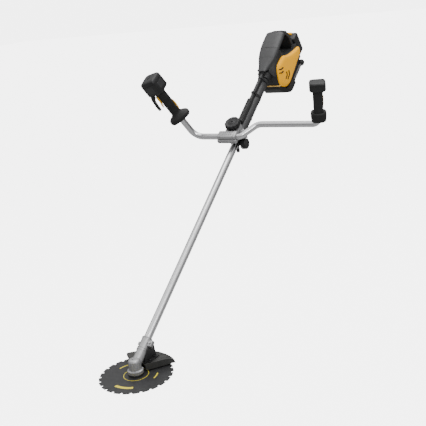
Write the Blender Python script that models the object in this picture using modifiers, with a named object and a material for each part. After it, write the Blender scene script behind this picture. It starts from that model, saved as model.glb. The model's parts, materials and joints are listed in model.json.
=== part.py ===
"""Battery brush cutter: blade and gear head, shaft, folding handlebar and power head.

Three frames hold every piece, each one an empty:
- the world: origin at the harness eyelet, +Z up, +X to the user's left, +Y towards the user;
- "blade frame": origin at the middle of the blade, axes as the world;
- "shaft frame": origin where the shaft's axis meets the blade's axis, X lateral,
  Y up along the shaft, Z square to the shaft on its upper side.
The two grips have frames of their own, with Z along the grip.
Lengths are in millimetres until an object is placed.
"""

import math

import bmesh
import bpy
from mathutils import Matrix, Vector

MM = 0.001
GAP = 0.3

# Blade and gear head
BLADE_RADIUS = 127.5
BLADE_THICKNESS = 2.0
BLADE_BORE = 12.7
TOOTH_COUNT = 24
GULLET_DEPTH = 8.5
SHAFT_SLOPE = 34.1
BEVEL_HEIGHT = 31.7
SPINDLE_RADIUS = 6.0
CASE_RADIUS = 21.0
COLLAR_RADIUS = 18.0
COLLAR_END = 108.0
GUARD_START = 50.0
GUARD_SWEEP = 89.0
GUARD_THICKNESS = 2.5

# Bevel gears, whose teeth all point at the meeting point of the two axes
PINION_TEETH = 14
CROWN_TEETH = 19
GEAR_OUTER = 13.1
GEAR_INNER = 8.5
ADDENDUM_DEG = 3.2
DEDENDUM_DEG = 4.6

# Shaft, by distance from the meeting point of the axes
TUBE_RADIUS = 14.0
TUBE_BORE = 12.4
TUBE_START = 52.0
TUBE_END = 1400.0
DRIVE_RADIUS = 4.0
SLEEVE_START = 1080.0
SLEEVE_END = 1371.5
SLEEVE_RADIUS = 20.0
BOOT_START = 1098.0
BOOT_END = 1223.0
BOOT_RADIUS = 12.0
BOOT_RIBS = 14
CONDUIT_RADIUS = 8.0
CONDUIT_HEIGHT = 29.0

# Handlebar and its clamp
BAR_RADIUS = 12.5
BAR_WALL = 2.0
BAR_STATION = 1000.0
BAR_HEIGHT = 50.0
RIGHT_END = -161.0
LEFT_END = 358.5
JOG_INNER = 45.0
JOG_OUTER = 99.0
JOG_RISE = 66.0
PIVOT_STATION = 1049.0
KNOB_RADIUS = 32.0
KNOB_BASE = 60.6
KNOB_TOP = 83.0
HANGER_STATION = 1013.0
EYELET_STATION = 1003.0
EYELET_DROP = 33.0

# Grips
RIGHT_LEAN = (-0.27, 0.07, 0.96)
TRIGGER_SIDE = (-0.651, -0.748, -0.129)
RIGHT_FLANGE = 115.0
RIGHT_HEAD = 284.0
HEAD_WIDTH = 70.0
LEFT_LEAN = (0.1, 0.42, 0.9)
LEFT_FRONT = (0.40, -0.85, 0.35)
LEFT_CUP = 13.0
LEFT_HEAD = 150.0
LEFT_WIDTH = 62.0

# Power head
HOUSING_START = 1372.0
HOUSING_BACK = 1500.0
SIDE = 43.0
RAIL_SIDE = 46.0
RAIL_HEIGHT = -136.0
RAIL_RADIUS = 6.5
RAIL_END = 1626.0

DARK = ((0.045, 0.045, 0.048), 0.55, 0.0)
BLACK = ((0.018, 0.018, 0.019), 0.6, 0.0)
RUBBER = ((0.012, 0.012, 0.012), 0.8, 0.0)
GREY = ((0.09, 0.09, 0.092), 0.5, 0.0)
YELLOW = ((0.85, 0.46, 0.03), 0.4, 0.0)
ALUMINIUM = ((0.75, 0.75, 0.76), 0.3, 1.0)
CAST = ((0.38, 0.38, 0.39), 0.45, 0.9)
STEEL = ((0.55, 0.55, 0.56), 0.3, 1.0)
CHARCOAL = ((0.06, 0.06, 0.062), 0.5, 0.2)
COPPER = ((0.72, 0.36, 0.2), 0.4, 1.0)
BOARD = ((0.03, 0.16, 0.06), 0.5, 0.0)

# Turns that lay a shape drawn about Z, or in the XY plane, into another direction
ALONG_Y = (-90.0, 0.0, 0.0)
ALONG_X = (0.0, 90.0, 0.0)
SIDE_VIEW = (90.0, 0.0, 90.0)
UPSIDE_DOWN = (180.0, 0.0, 0.0)


# ---------------------------------------------------------------- scene and frames

def clear_scene():
    """Remove whatever the file holds."""
    for obj in list(bpy.data.objects):
        bpy.data.objects.remove(obj, do_unlink=True)


def new_collection(name):
    """Add a collection to the scene."""
    collection = bpy.data.collections.new(name)
    bpy.context.scene.collection.children.link(collection)
    return collection


def add_frame(name, at, turn=(0.0, 0.0, 0.0), parent=None):
    """Add an empty that pieces are placed in; at is in millimetres, turn in degrees."""
    empty = bpy.data.objects.new(name, None)
    empty.empty_display_size = 0.05
    PARTS.objects.link(empty)
    empty.parent = parent
    empty.location = Vector(at) * MM
    empty.rotation_euler = [math.radians(angle) for angle in turn]
    return empty


def aimed_frame(name, at, along, facing, parent):
    """Add an empty whose Z runs along one direction and whose X leans towards another."""
    z_axis = Vector(along).normalized()
    y_axis = z_axis.cross(Vector(facing)).normalized()
    x_axis = y_axis.cross(z_axis)
    empty = add_frame(name, at, parent=parent)
    empty.rotation_euler = Matrix((x_axis, y_axis, z_axis)).transposed().to_euler()
    return empty


def hang_on(axis_frame, *objects):
    """Hang objects on an unturned empty that lies on their joint's axis, without moving them."""
    for obj in objects:
        obj.parent = axis_frame
        obj.location -= axis_frame.location


# ---------------------------------------------------------------- objects

def new_material(name, finish):
    """Make a piece's own Principled material from (colour, roughness, metallic)."""
    colour, roughness, metallic = finish
    material = bpy.data.materials.new(name)
    material.use_nodes = True
    shader = material.node_tree.nodes["Principled BSDF"]
    shader.inputs["Base Color"].default_value = (*colour, 1.0)
    shader.inputs["Roughness"].default_value = roughness
    shader.inputs["Metallic"].default_value = metallic
    return material


def place(name, mesh, frame, finish=None, at=(0.0, 0.0, 0.0), turn=(0.0, 0.0, 0.0)):
    """Put a mesh in a frame. Without a finish it is a cutter or a shape to be joined."""
    obj = bpy.data.objects.new(name, mesh)
    obj.parent = frame
    obj.location = Vector(at) * MM
    obj.rotation_euler = [math.radians(angle) for angle in turn]
    if finish is None:
        CUTTERS.objects.link(obj)
        obj.hide_render = True
        obj.display_type = "WIRE"
        return obj
    PARTS.objects.link(obj)
    mesh.materials.append(new_material(name, finish))
    mesh.shade_smooth()
    mesh.set_sharp_from_angle(angle=math.radians(35.0))
    return obj


def soften(obj, width, segments=1):
    """Round an object's sharp edges."""
    bevel = obj.modifiers.new("Bevel", "BEVEL")
    bevel.width = width * MM
    bevel.segments = segments
    bevel.limit_method = "ANGLE"
    bevel.angle_limit = math.radians(40.0)
    return obj


def combine(obj, others, operation):
    """Cut or join an object with others, exactly."""
    for other in others:
        boolean = obj.modifiers.new(other.name, "BOOLEAN")
        boolean.operation = operation
        boolean.solver = "EXACT"
        boolean.object = other
    return obj


def cut(obj, *cutters):
    """Cut shapes out of an object."""
    return combine(obj, cutters, "DIFFERENCE")


def join(obj, *others):
    """Join shapes to an object as one solid."""
    return combine(obj, others, "UNION")


# ---------------------------------------------------------------- meshes

def finished_mesh(name, bm):
    """Turn a bmesh into a mesh with its faces pointing out."""
    bmesh.ops.recalc_face_normals(bm, faces=bm.faces)
    mesh = bpy.data.meshes.new(name)
    bm.to_mesh(mesh)
    bm.free()
    return mesh


def box(low, high):
    """A box between two corners."""
    bm = bmesh.new()
    bmesh.ops.create_cube(bm, size=1.0)
    low, high = Vector(low) * MM, Vector(high) * MM
    bmesh.ops.scale(bm, vec=high - low, verts=bm.verts)
    bmesh.ops.translate(bm, vec=(low + high) / 2.0, verts=bm.verts)
    return finished_mesh("box", bm)


def cylinder(radius, low, high, sides=32, top_radius=None):
    """A cylinder or cone about Z between two heights."""
    bm = bmesh.new()
    top = radius if top_radius is None else top_radius
    bmesh.ops.create_cone(bm, cap_ends=True, segments=sides, radius1=radius * MM,
                          radius2=top * MM, depth=(high - low) * MM)
    bmesh.ops.translate(bm, vec=(0.0, 0.0, (low + high) / 2.0 * MM), verts=bm.verts)
    return finished_mesh("cylinder", bm)


def from_curve(curve):
    """Make a curve's evaluated shape a closed mesh."""
    temporary = bpy.data.objects.new("outline", curve)
    CUTTERS.objects.link(temporary)
    depsgraph = bpy.context.evaluated_depsgraph_get()
    mesh = bpy.data.meshes.new_from_object(temporary.evaluated_get(depsgraph))
    bpy.data.objects.remove(temporary, do_unlink=True)
    bm = bmesh.new()
    bm.from_mesh(mesh)
    bmesh.ops.remove_doubles(bm, verts=bm.verts, dist=0.01 * MM)
    bm.to_mesh(mesh)
    bm.free()
    mesh.materials.clear()
    return mesh


def plate(outlines, low, high):
    """A flat outline in XY, with any holes after it, between two heights."""
    curve = bpy.data.curves.new("plate", "CURVE")
    curve.dimensions = "2D"
    curve.fill_mode = "BOTH"
    curve.extrude = (high - low) / 2.0 * MM
    for outline in outlines:
        spline = curve.splines.new("POLY")
        spline.points.add(len(outline) - 1)
        for point, (x, y) in zip(spline.points, outline):
            point.co = (x * MM, y * MM, 0.0, 1.0)
        spline.use_cyclic_u = True
    mesh = from_curve(curve)
    mesh.transform(Matrix.Translation((0.0, 0.0, (low + high) / 2.0 * MM)))
    return mesh


def wire(points, radius, resolution=2, caps=True):
    """A round tube along a path."""
    curve = bpy.data.curves.new("wire", "CURVE")
    curve.dimensions = "3D"
    curve.bevel_depth = radius * MM
    curve.bevel_resolution = resolution
    curve.use_fill_caps = caps
    spline = curve.splines.new("POLY")
    spline.points.add(len(points) - 1)
    for point, position in zip(spline.points, points):
        point.co = (*(Vector(position) * MM), 1.0)
    return from_curve(curve)


def loft(rings, closed=False):
    """Skin rings of equally many points; closed joins the last ring to the first."""
    bm = bmesh.new()
    loops = [[bm.verts.new(Vector(point) * MM) for point in ring] for ring in rings]
    count = len(rings[0])
    pairs = list(zip(loops, loops[1:]))
    if closed:
        pairs.append((loops[-1], loops[0]))
    else:
        bm.faces.new(loops[0])
        bm.faces.new(loops[-1])
    for lower, upper in pairs:
        for i in range(count):
            j = (i + 1) % count
            bm.faces.new((lower[i], lower[j], upper[j], upper[i]))
    return finished_mesh("loft", bm)


def circle(radius, height, count=24, centre=(0.0, 0.0)):
    """Points of a circle at a height."""
    angles = [2.0 * math.pi * i / count for i in range(count)]
    return [(centre[0] + radius * math.cos(a), centre[1] + radius * math.sin(a), height)
            for a in angles]


def rounded(half_x, half_y, height, power=4.0, count=24, shift=(0.0, 0.0)):
    """Points of a rounded rectangle: power 2 is an ellipse, more is squarer."""
    points = []
    for i in range(count):
        angle = 2.0 * math.pi * (i + 0.5) / count
        c, s = math.cos(angle), math.sin(angle)
        x = math.copysign(abs(c) ** (2.0 / power), c) * half_x
        y = math.copysign(abs(s) ** (2.0 / power), s) * half_y
        points.append((x + shift[0], y + shift[1], height))
    return points


def ring(profile, count=32):
    """A ring about Z from a closed outline of (radius, height) points."""
    return loft([circle(radius, height, count) for radius, height in profile], closed=True)


def turned(name, profile, frame, finish, at=(0.0, 0.0, 0.0), turn=(0.0, 0.0, 0.0), steps=32):
    """A solid of revolution whose (radius, height) profile runs from top to bottom."""
    mesh = bpy.data.meshes.new(name)
    points = [(radius * MM, 0.0, height * MM) for radius, height in profile]
    mesh.from_pydata(points, [(i, i + 1) for i in range(len(points) - 1)], [])
    obj = place(name, mesh, frame, finish, at, turn)
    screw = obj.modifiers.new("Screw", "SCREW")
    screw.steps = steps
    screw.render_steps = steps
    screw.use_merge_vertices = True
    screw.merge_threshold = 0.00001
    screw.use_smooth_shade = True
    return obj


def rounded_path(corners, radii, steps=6):
    """A path through corners, each rounded with an arc of the radius given for it."""
    points = [Vector(corners[0])]
    for before, corner, after, radius in zip(corners, corners[1:], corners[2:], radii):
        corner = Vector(corner)
        back = (Vector(before) - corner).normalized()
        ahead = (Vector(after) - corner).normalized()
        half = back.angle(ahead) / 2.0
        centre = corner + (back + ahead).normalized() * radius / math.sin(half)
        first = corner + back * radius / math.tan(half) - centre
        normal = back.cross(ahead).normalized()
        sweep = -(math.pi - 2.0 * half)
        for i in range(steps + 1):
            points.append(centre + Matrix.Rotation(sweep * i / steps, 3, normal) @ first)
    points.append(Vector(corners[-1]))
    return points


# ---------------------------------------------------------------- cutting end

def blade_outline():
    """Rakers that stand highest at their leading corner, with a gullet before each."""
    pitch = 2.0 * math.pi / TOOTH_COUNT
    root = 1.0 - GULLET_DEPTH / BLADE_RADIUS
    steps = ((0.00, 1.0), (0.35, 0.993), (0.71, 0.986), (0.735, root), (0.93, root + 0.004))
    return [(BLADE_RADIUS * r * math.cos(pitch * (tooth + part)),
             BLADE_RADIUS * r * math.sin(pitch * (tooth + part)))
            for tooth in range(TOOTH_COUNT) for part, r in steps]


def flat_circle(radius, count=24, centre=(0.0, 0.0)):
    """A circle as an outline or a hole of a plate."""
    return [(x, y) for x, y, _ in circle(radius, 0.0, count, centre)]


def make_blade_stack():
    """Blade, the two washers that hold it, the cup under it and the nut."""
    half = BLADE_THICKNESS / 2.0
    place("blade", plate([blade_outline(), flat_circle(BLADE_BORE, 32)], -half, half),
          BLADE_FRAME, CHARCOAL)
    bore = SPINDLE_RADIUS + GAP
    spigot = BLADE_BORE - GAP
    place("receiver_washer", ring([(14.0, 7.5), (25.0, 7.5), (26.0, half + GAP), (spigot, half + GAP),
                                   (spigot, -0.7), (bore, -0.7), (bore, 7.5)]), BLADE_FRAME, BLACK)
    place("clamping_washer", ring([(21.0, -1.3), (20.0, -4.3), (bore, -4.3), (bore, -1.3)]),
          BLADE_FRAME, STEEL)
    place("blade_cup", ring([(14.0, -4.7), (27.0, -6.0), (34.0, -12.0), (31.0, -17.0), (24.0, -18.5),
                             (24.0, -17.0), (30.0, -15.5), (31.5, -12.0), (26.0, -8.0), (14.0, -6.7),
                             (bore, -6.7), (bore, -4.7)]), BLADE_FRAME, STEEL)
    nut = place("blade_nut", cylinder(9.8, -15.0, -7.0, sides=6), BLADE_FRAME, STEEL)
    cut(nut, place("nut_bore", cylinder(bore, -20.0, 0.0), BLADE_FRAME))


def gear_rings(teeth, cone_deg, phase_deg, back, bore, bore_front):
    """Rings of a bevel gear about Z, whose apex is the frame's origin."""
    root = math.radians(cone_deg - DEDENDUM_DEG)
    tip = math.radians(cone_deg + ADDENDUM_DEG)
    corners = ((-0.23, root), (-0.14, tip), (0.14, tip), (0.23, root))
    spots = [(math.radians(phase_deg) + 2.0 * math.pi * (tooth + part) / teeth, cone)
             for tooth in range(teeth) for part, cone in corners]
    rings = [[(distance * math.sin(cone) * math.cos(around),
               distance * math.sin(cone) * math.sin(around),
               distance * math.cos(cone)) for around, cone in spots]
             for distance in (GEAR_INNER, GEAR_OUTER)]
    for radius, height in (back, (bore, back[1]), (bore, bore_front)):
        rings.append([(radius * math.cos(around), radius * math.sin(around), height)
                      for around, _ in spots])
    return rings


def make_gears():
    """Crown gear on the spindle and pinion on the drive shaft, in mesh at rest."""
    between = math.radians(90.0 + SHAFT_SLOPE)
    ratio = CROWN_TEETH / PINION_TEETH
    pinion_cone = math.degrees(math.atan2(math.sin(between), ratio + math.cos(between)))
    crown_cone = math.degrees(between) - pinion_cone
    half_gap = 180.0 / CROWN_TEETH
    place("crown_gear", loft(gear_rings(CROWN_TEETH, crown_cone, -90.0 + half_gap, (12.0, 9.0),
                                        SPINDLE_RADIUS + GAP, 3.2), closed=True),
          SHAFT_ROOT, STEEL, turn=UPSIDE_DOWN)
    place("pinion_gear", loft(gear_rings(PINION_TEETH, pinion_cone, 90.0, (8.5, 13.0),
                                         DRIVE_RADIUS + GAP, 6.0), closed=True),
          SHAFT_FRAME, STEEL, turn=ALONG_Y)


def make_spindle():
    """Output spindle with its two bearings and its seal."""
    r = SPINDLE_RADIUS
    turned("output_spindle", [(0.0, 27.0), (r - 1.0, 27.0), (r, 26.0), (r, -15.5), (r - 1.0, -16.5),
                              (0.0, -16.5)], BLADE_FRAME, STEEL, steps=24)
    race = r + GAP
    for name, low in (("upper_spindle_bearing", 17.3), ("lower_spindle_bearing", 12.4)):
        place(name, ring([(15.0, low + 4.4), (15.0, low), (race, low), (race, low + 4.4)], 24),
              BLADE_FRAME, STEEL)
    place("spindle_seal", ring([(8.7, 11.4), (8.7, 8.3), (race, 8.3), (race, 11.4)], 24),
          BLADE_FRAME, RUBBER)
    place("pinion_bearing", ring([(13.0, 27.0), (13.0, 17.0), (DRIVE_RADIUS + GAP, 17.0),
                                  (DRIVE_RADIUS + GAP, 27.0)], 24), SHAFT_FRAME, STEEL, turn=ALONG_Y)


def make_gear_case():
    """Cast gear case: an upright barrel with a flange, and the collar that grips the shaft."""
    case = turned("gear_case", [(0.0, 60.0), (12.0, 59.5), (18.0, 57.0), (CASE_RADIUS, 52.0),
                                (CASE_RADIUS, 22.0), (27.5, 20.0), (27.5, 12.0), (0.0, 12.0)],
                  BLADE_FRAME, CAST)
    collar = place("case_collar", cylinder(COLLAR_RADIUS, 2.0, COLLAR_END), SHAFT_FRAME, turn=ALONG_Y)
    right_ear = place("case_ear", box((14.0, 76.0, -9.0), (31.0, 101.0, 9.0)), SHAFT_FRAME)
    left_tab = place("case_tab", box((-26.0, 78.0, -3.0), (-14.0, 90.0, 5.0)), SHAFT_FRAME)
    join(case, collar, soften(right_ear, 4.0, 2), soften(left_tab, 1.5))
    chamber = place("case_chamber", cylinder(17.0, 22.0, 52.0), BLADE_FRAME)
    seat = place("case_seat", cylinder(15.3, 0.0, 23.0), BLADE_FRAME)
    pinion_bore = place("case_pinion_bore", cylinder(13.3, 4.0, 60.0), SHAFT_FRAME, turn=ALONG_Y)
    tube_bore = place("case_tube_bore", cylinder(TUBE_RADIUS + GAP, 50.0, 150.0), SHAFT_FRAME,
                      turn=ALONG_Y)
    bolt_hole = place("case_bolt_hole", cylinder(2.8, -30.0, 30.0, 16), SHAFT_FRAME,
                      at=(24.0, 88.0, 0.0))
    cut(case, chamber, seat, pinion_bore, tube_bore, bolt_hole)
    place("gear_case_cover", ring([(27.0, 11.6), (27.0, 9.0), (26.0, 8.1), (9.0, 8.1), (9.0, 11.6)]),
          BLADE_FRAME, CAST)
    turned("case_clamp_bolt", [(0.0, 14.0), (4.3, 14.0), (4.3, 9.4), (2.5, 9.4), (2.5, -12.0),
                               (0.0, -12.0)], SHAFT_FRAME, STEEL, at=(24.0, 88.0, 0.0), steps=16)


def make_guard():
    """Debris guard behind the blade, its bracket on the collar and a bolt between them."""
    mesh = bpy.data.meshes.new("guard")
    profile = ((33.0, 26.0), (62.0, 27.0), (108.0, 26.5), (128.0, 23.0), (137.0, 16.0), (139.5, 5.0))
    mesh.from_pydata([(r * MM, 0.0, z * MM) for r, z in profile],
                     [(i, i + 1) for i in range(len(profile) - 1)], [])
    guard = place("guard", mesh, BLADE_FRAME, DARK, turn=(0.0, 0.0, GUARD_START))
    screw = guard.modifiers.new("Screw", "SCREW")
    screw.angle = math.radians(GUARD_SWEEP)
    screw.steps = 16
    screw.render_steps = 16
    shell = guard.modifiers.new("Solidify", "SOLIDIFY")
    shell.thickness = GUARD_THICKNESS * MM
    shell.offset = 0.0
    band = [(35.0, 6.0), (137.0, 6.0), (135.0, 15.0), (127.0, 22.0), (108.0, 26.0), (62.0, 26.7),
            (35.0, 26.0)]
    bands = []
    for name, angle in (("guard_front_band", GUARD_START + 0.8),
                        ("guard_rear_band", GUARD_START + GUARD_SWEEP - 0.8)):
        bands.append(place(name, plate([band], -1.2, 1.2), BLADE_FRAME, turn=(90.0, 0.0, angle)))
    join(guard, *bands)
    hole = place("guard_bolt_hole", cylinder(2.8, 0.0, 60.0, 16), BLADE_FRAME, at=(-27.8, 80.0, 0.0))
    cut(guard, hole)
    bracket = place("guard_bracket", box((-33.5, 42.0, 28.8), (33.5, 97.0, 32.0)), BLADE_FRAME, BLACK)
    gusset = [(28.0, 29.5), (96.0, 29.5), (90.0, 78.0), (78.0, 88.0), (50.0, 69.0)]
    cheeks = [place("bracket_cheek", plate([gusset], side, side + 4.0), BLADE_FRAME, turn=SIDE_VIEW)
              for side in (-22.7, 18.7)]
    cut(join(bracket, *cheeks), hole, place("bracket_ear_slot", box((-40.0, 74.5, -16.0), (40.0, 130.0, 16.0)),
                                            SHAFT_FRAME))
    turned("guard_bolt", [(0.0, 36.5), (4.5, 36.5), (4.5, 32.3), (2.5, 32.3), (2.5, 18.0), (0.0, 18.0)],
           BLADE_FRAME, STEEL, at=(-27.8, 80.0, 0.0), steps=16)


# ---------------------------------------------------------------- shaft

def make_shaft():
    """Aluminium tube, the steel drive shaft in it and the bushes that carry it."""
    place("shaft_tube", ring([(TUBE_RADIUS, TUBE_END), (TUBE_RADIUS, TUBE_START),
                              (TUBE_BORE, TUBE_START), (TUBE_BORE, TUBE_END)]),
          SHAFT_FRAME, ALUMINIUM, turn=ALONG_Y)
    turned("drive_shaft", [(0.0, 1401.5), (DRIVE_RADIUS, 1401.5), (DRIVE_RADIUS, 6.8), (0.0, 6.8)],
           SHAFT_FRAME, STEEL, turn=ALONG_Y, steps=16)
    for name, station in (("lower_shaft_bush", 330.0), ("upper_shaft_bush", 960.0)):
        place(name, ring([(TUBE_BORE - GAP, station + 10.0), (TUBE_BORE - GAP, station - 10.0),
                          (DRIVE_RADIUS + GAP, station - 10.0), (DRIVE_RADIUS + GAP, station + 10.0)],
                         16), SHAFT_FRAME, BLACK, turn=ALONG_Y)


def make_upper_shaft():
    """Dark sleeve, the cable conduit on it with its clips, the ribbed boot and the bare cable."""
    inner = TUBE_RADIUS + GAP
    place("upper_sleeve", ring([(SLEEVE_RADIUS, SLEEVE_END), (SLEEVE_RADIUS, SLEEVE_START + 3.0),
                                (SLEEVE_RADIUS - 2.0, SLEEVE_START), (inner, SLEEVE_START),
                                (inner, SLEEVE_END)]), SHAFT_FRAME, DARK, turn=ALONG_Y)
    turned("conduit", [(0.0, SLEEVE_END), (CONDUIT_RADIUS, SLEEVE_END), (CONDUIT_RADIUS, BOOT_END + GAP),
                       (0.0, BOOT_END + GAP)], SHAFT_FRAME, BLACK,
           at=(0.0, 0.0, CONDUIT_HEIGHT), turn=ALONG_Y, steps=16)
    pitch = (BOOT_END - BOOT_START) / BOOT_RIBS
    ribs = [(0.0, BOOT_END)]
    for i in range(BOOT_RIBS, 0, -1):
        high = BOOT_START + i * pitch
        ribs += [(BOOT_RADIUS, high), (BOOT_RADIUS, high - 0.55 * pitch),
                 (BOOT_RADIUS - 2.2, high - 0.7 * pitch), (BOOT_RADIUS - 2.2, high - 0.9 * pitch)]
    ribs += [(BOOT_RADIUS - 2.2, BOOT_START), (0.0, BOOT_START)]
    turned("corrugated_boot", ribs, SHAFT_FRAME, RUBBER,
           at=(0.0, 0.0, SLEEVE_RADIUS + GAP + BOOT_RADIUS), turn=ALONG_Y, steps=14)
    for name, station in (("conduit_clip", 1352.0),):
        outer = clip_outline(2.6)
        place(name, plate([outer, clip_outline(GAP)], -5.0, 5.0), SHAFT_FRAME, BLACK,
              at=(0.0, station, 0.0), turn=(90.0, 0.0, 0.0))
    height = SLEEVE_RADIUS + GAP + BOOT_RADIUS
    place("trigger_cable", wire(rounded_path([(0.0, 1072.4, 23.6), (0.0, 1084.0, 23.6),
                                              (0.0, 1093.0, height), (0.0, BOOT_START - GAP, height)],
                                             [8.0, 6.0], 3), 3.0), SHAFT_FRAME, RUBBER)


def clip_outline(offset):
    """The outline round sleeve and conduit together, a distance outside them."""
    points = []
    low_radius, high_radius = SLEEVE_RADIUS + offset, CONDUIT_RADIUS + offset
    tangent = math.asin((low_radius - high_radius) / CONDUIT_HEIGHT)
    for i in range(17):
        angle = tangent + (-math.pi - 2.0 * tangent) * i / 16.0
        points.append((low_radius * math.cos(angle), low_radius * math.sin(angle)))
    for i in range(9):
        angle = math.pi - tangent - (math.pi - 2.0 * tangent) * i / 8.0
        points.append((high_radius * math.cos(angle), CONDUIT_HEIGHT + high_radius * math.sin(angle)))
    return points


# ---------------------------------------------------------------- handlebar clamp

def make_clamp():
    """Fixed base on the shaft, the bar clamp that turns on it, its bolt and its knob."""
    base = place("clamp_base", box((-24.0, 1028.0, -20.0), (24.0, 1072.0, 27.6)), SHAFT_FRAME, CAST)
    soften(base, 5.0, 2)
    bore = place("base_bore", cylinder(TUBE_RADIUS + GAP, 1000.0, 1100.0), SHAFT_FRAME, turn=ALONG_Y)
    bolt_hole = place("clamp_bolt_hole", cylinder(4.4, 17.0, 90.0, 24), SHAFT_FRAME,
                      at=(0.0, PIVOT_STATION, 0.0))
    cut(base, bore, bolt_hole)
    bar_hole = place("bar_hole", cylinder(BAR_RADIUS + GAP, -120.0, 120.0), SHAFT_FRAME,
                     at=(0.0, BAR_STATION, BAR_HEIGHT), turn=ALONG_X)
    body = place("bar_clamp_body", box((-55.0, 977.0, 33.0), (33.0, 1024.0, 49.8)), SHAFT_FRAME, CAST)
    soften(body, 4.0, 2)
    seat = place("clamp_seat", cylinder(29.0, 28.7, 49.3), SHAFT_FRAME, at=(0.0, PIVOT_STATION, 0.0))
    fin = place("clamp_fin", plate([[(24.0, 1003.0), (66.0, 1013.0), (37.0, 1052.0), (24.0, 1056.0)]],
                                   29.3, 36.5), SHAFT_FRAME)
    cut(join(body, seat, fin), bar_hole, bolt_hole)
    cap = place("bar_clamp_cap", box((-50.0, 980.0, 50.2), (32.0, 1015.5, 69.0)), SHAFT_FRAME, CAST)
    soften(cap, 5.0, 2)
    foot = place("cap_foot", plate([[(-28.0, 1008.0), (28.0, 1008.0), (28.0, 1058.0), (16.0, 1074.0),
                                     (-16.0, 1074.0), (-28.0, 1058.0)]], 50.2, 60.0), SHAFT_FRAME)
    cut(join(cap, foot), bar_hole, bolt_hole)
    hang_on(FOLD_FRAME, body, cap)
    turned("clamp_bolt", [(0.0, 80.0), (4.0, 80.0), (4.0, 17.5), (0.0, 17.5)], SHAFT_FRAME, STEEL,
           at=(0.0, PIVOT_STATION, 0.0), steps=20)
    place("clamp_knob", knob_mesh(KNOB_RADIUS, KNOB_BASE, KNOB_TOP, 10, 4.3), SHAFT_FRAME, BLACK,
          at=(0.0, PIVOT_STATION, 0.0))


def knob_mesh(radius, low, high, lobes, bore):
    """A fluted knob about Z with a bore right through it."""
    count = lobes * 4
    rings = []
    for scale, height in ((0.86, high), (0.97, high - 2.5), (1.0, low + 4.0), (0.9, low)):
        points = []
        for i in range(count):
            angle = 2.0 * math.pi * i / count
            reach = radius * scale * (1.0 - (0.09 if i % 4 == 0 else 0.0))
            points.append((reach * math.cos(angle), reach * math.sin(angle), height))
        rings.append(points)
    rings.append(circle(bore, low, count))
    rings.append(circle(bore, high, count))
    return loft(rings, closed=True)


def make_handlebar():
    """Bent tube: low on the trigger side, jogged up the shaft on the other."""
    right = Vector((RIGHT_END, BAR_STATION, BAR_HEIGHT))
    left = Vector((LEFT_END, BAR_STATION + JOG_RISE, BAR_HEIGHT))
    corners = [right + Vector(RIGHT_LEAN).normalized() * 250.0, right,
               (JOG_INNER, BAR_STATION, BAR_HEIGHT), (JOG_OUTER, BAR_STATION + JOG_RISE, BAR_HEIGHT),
               left, left + Vector(LEFT_LEAN).normalized() * 125.0]
    bar = place("handlebar", wire(rounded_path(corners, [48.0, 24.0, 36.0, 30.0]), BAR_RADIUS, 3,
                                  caps=False), SHAFT_FRAME, ALUMINIUM)
    wall = bar.modifiers.new("Solidify", "SOLIDIFY")
    wall.thickness = BAR_WALL * MM
    wall.offset = -1.0
    hang_on(FOLD_FRAME, bar)


def make_hanger():
    """Band on the shaft with the harness eyelet under it, and the knob that closes it."""
    band = place("hanger_band", cylinder(19.0, 1003.0, 1023.0), SHAFT_FRAME, BLACK, turn=ALONG_Y)
    lug = place("hanger_lug", plate([[(1000.0, -44.0), (1006.0, -44.0), (1013.0, -36.0), (1021.0, -12.0),
                                      (1005.0, -12.0), (993.0, -36.0)]], -3.5, 3.5), SHAFT_FRAME,
                turn=SIDE_VIEW)
    boss = place("hanger_boss", cylinder(8.0, 10.0, 24.0, 16), SHAFT_FRAME,
                 at=(0.0, HANGER_STATION, -5.0), turn=ALONG_X)
    eyelet = place("eyelet_hole", cylinder(4.5, -20.0, 20.0, 24), SHAFT_FRAME,
                   at=(0.0, EYELET_STATION, -EYELET_DROP), turn=ALONG_X)
    bore = place("hanger_bore", cylinder(TUBE_RADIUS + GAP, 980.0, 1040.0), SHAFT_FRAME, turn=ALONG_Y)
    cut(join(band, lug, boss), eyelet, bore)
    place("hanger_knob", knob_mesh(22.0, 24.6, 50.0, 9, 2.5), SHAFT_FRAME, BLACK,
          at=(0.0, HANGER_STATION, -5.0), turn=ALONG_X)


# ---------------------------------------------------------------- grips

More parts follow.
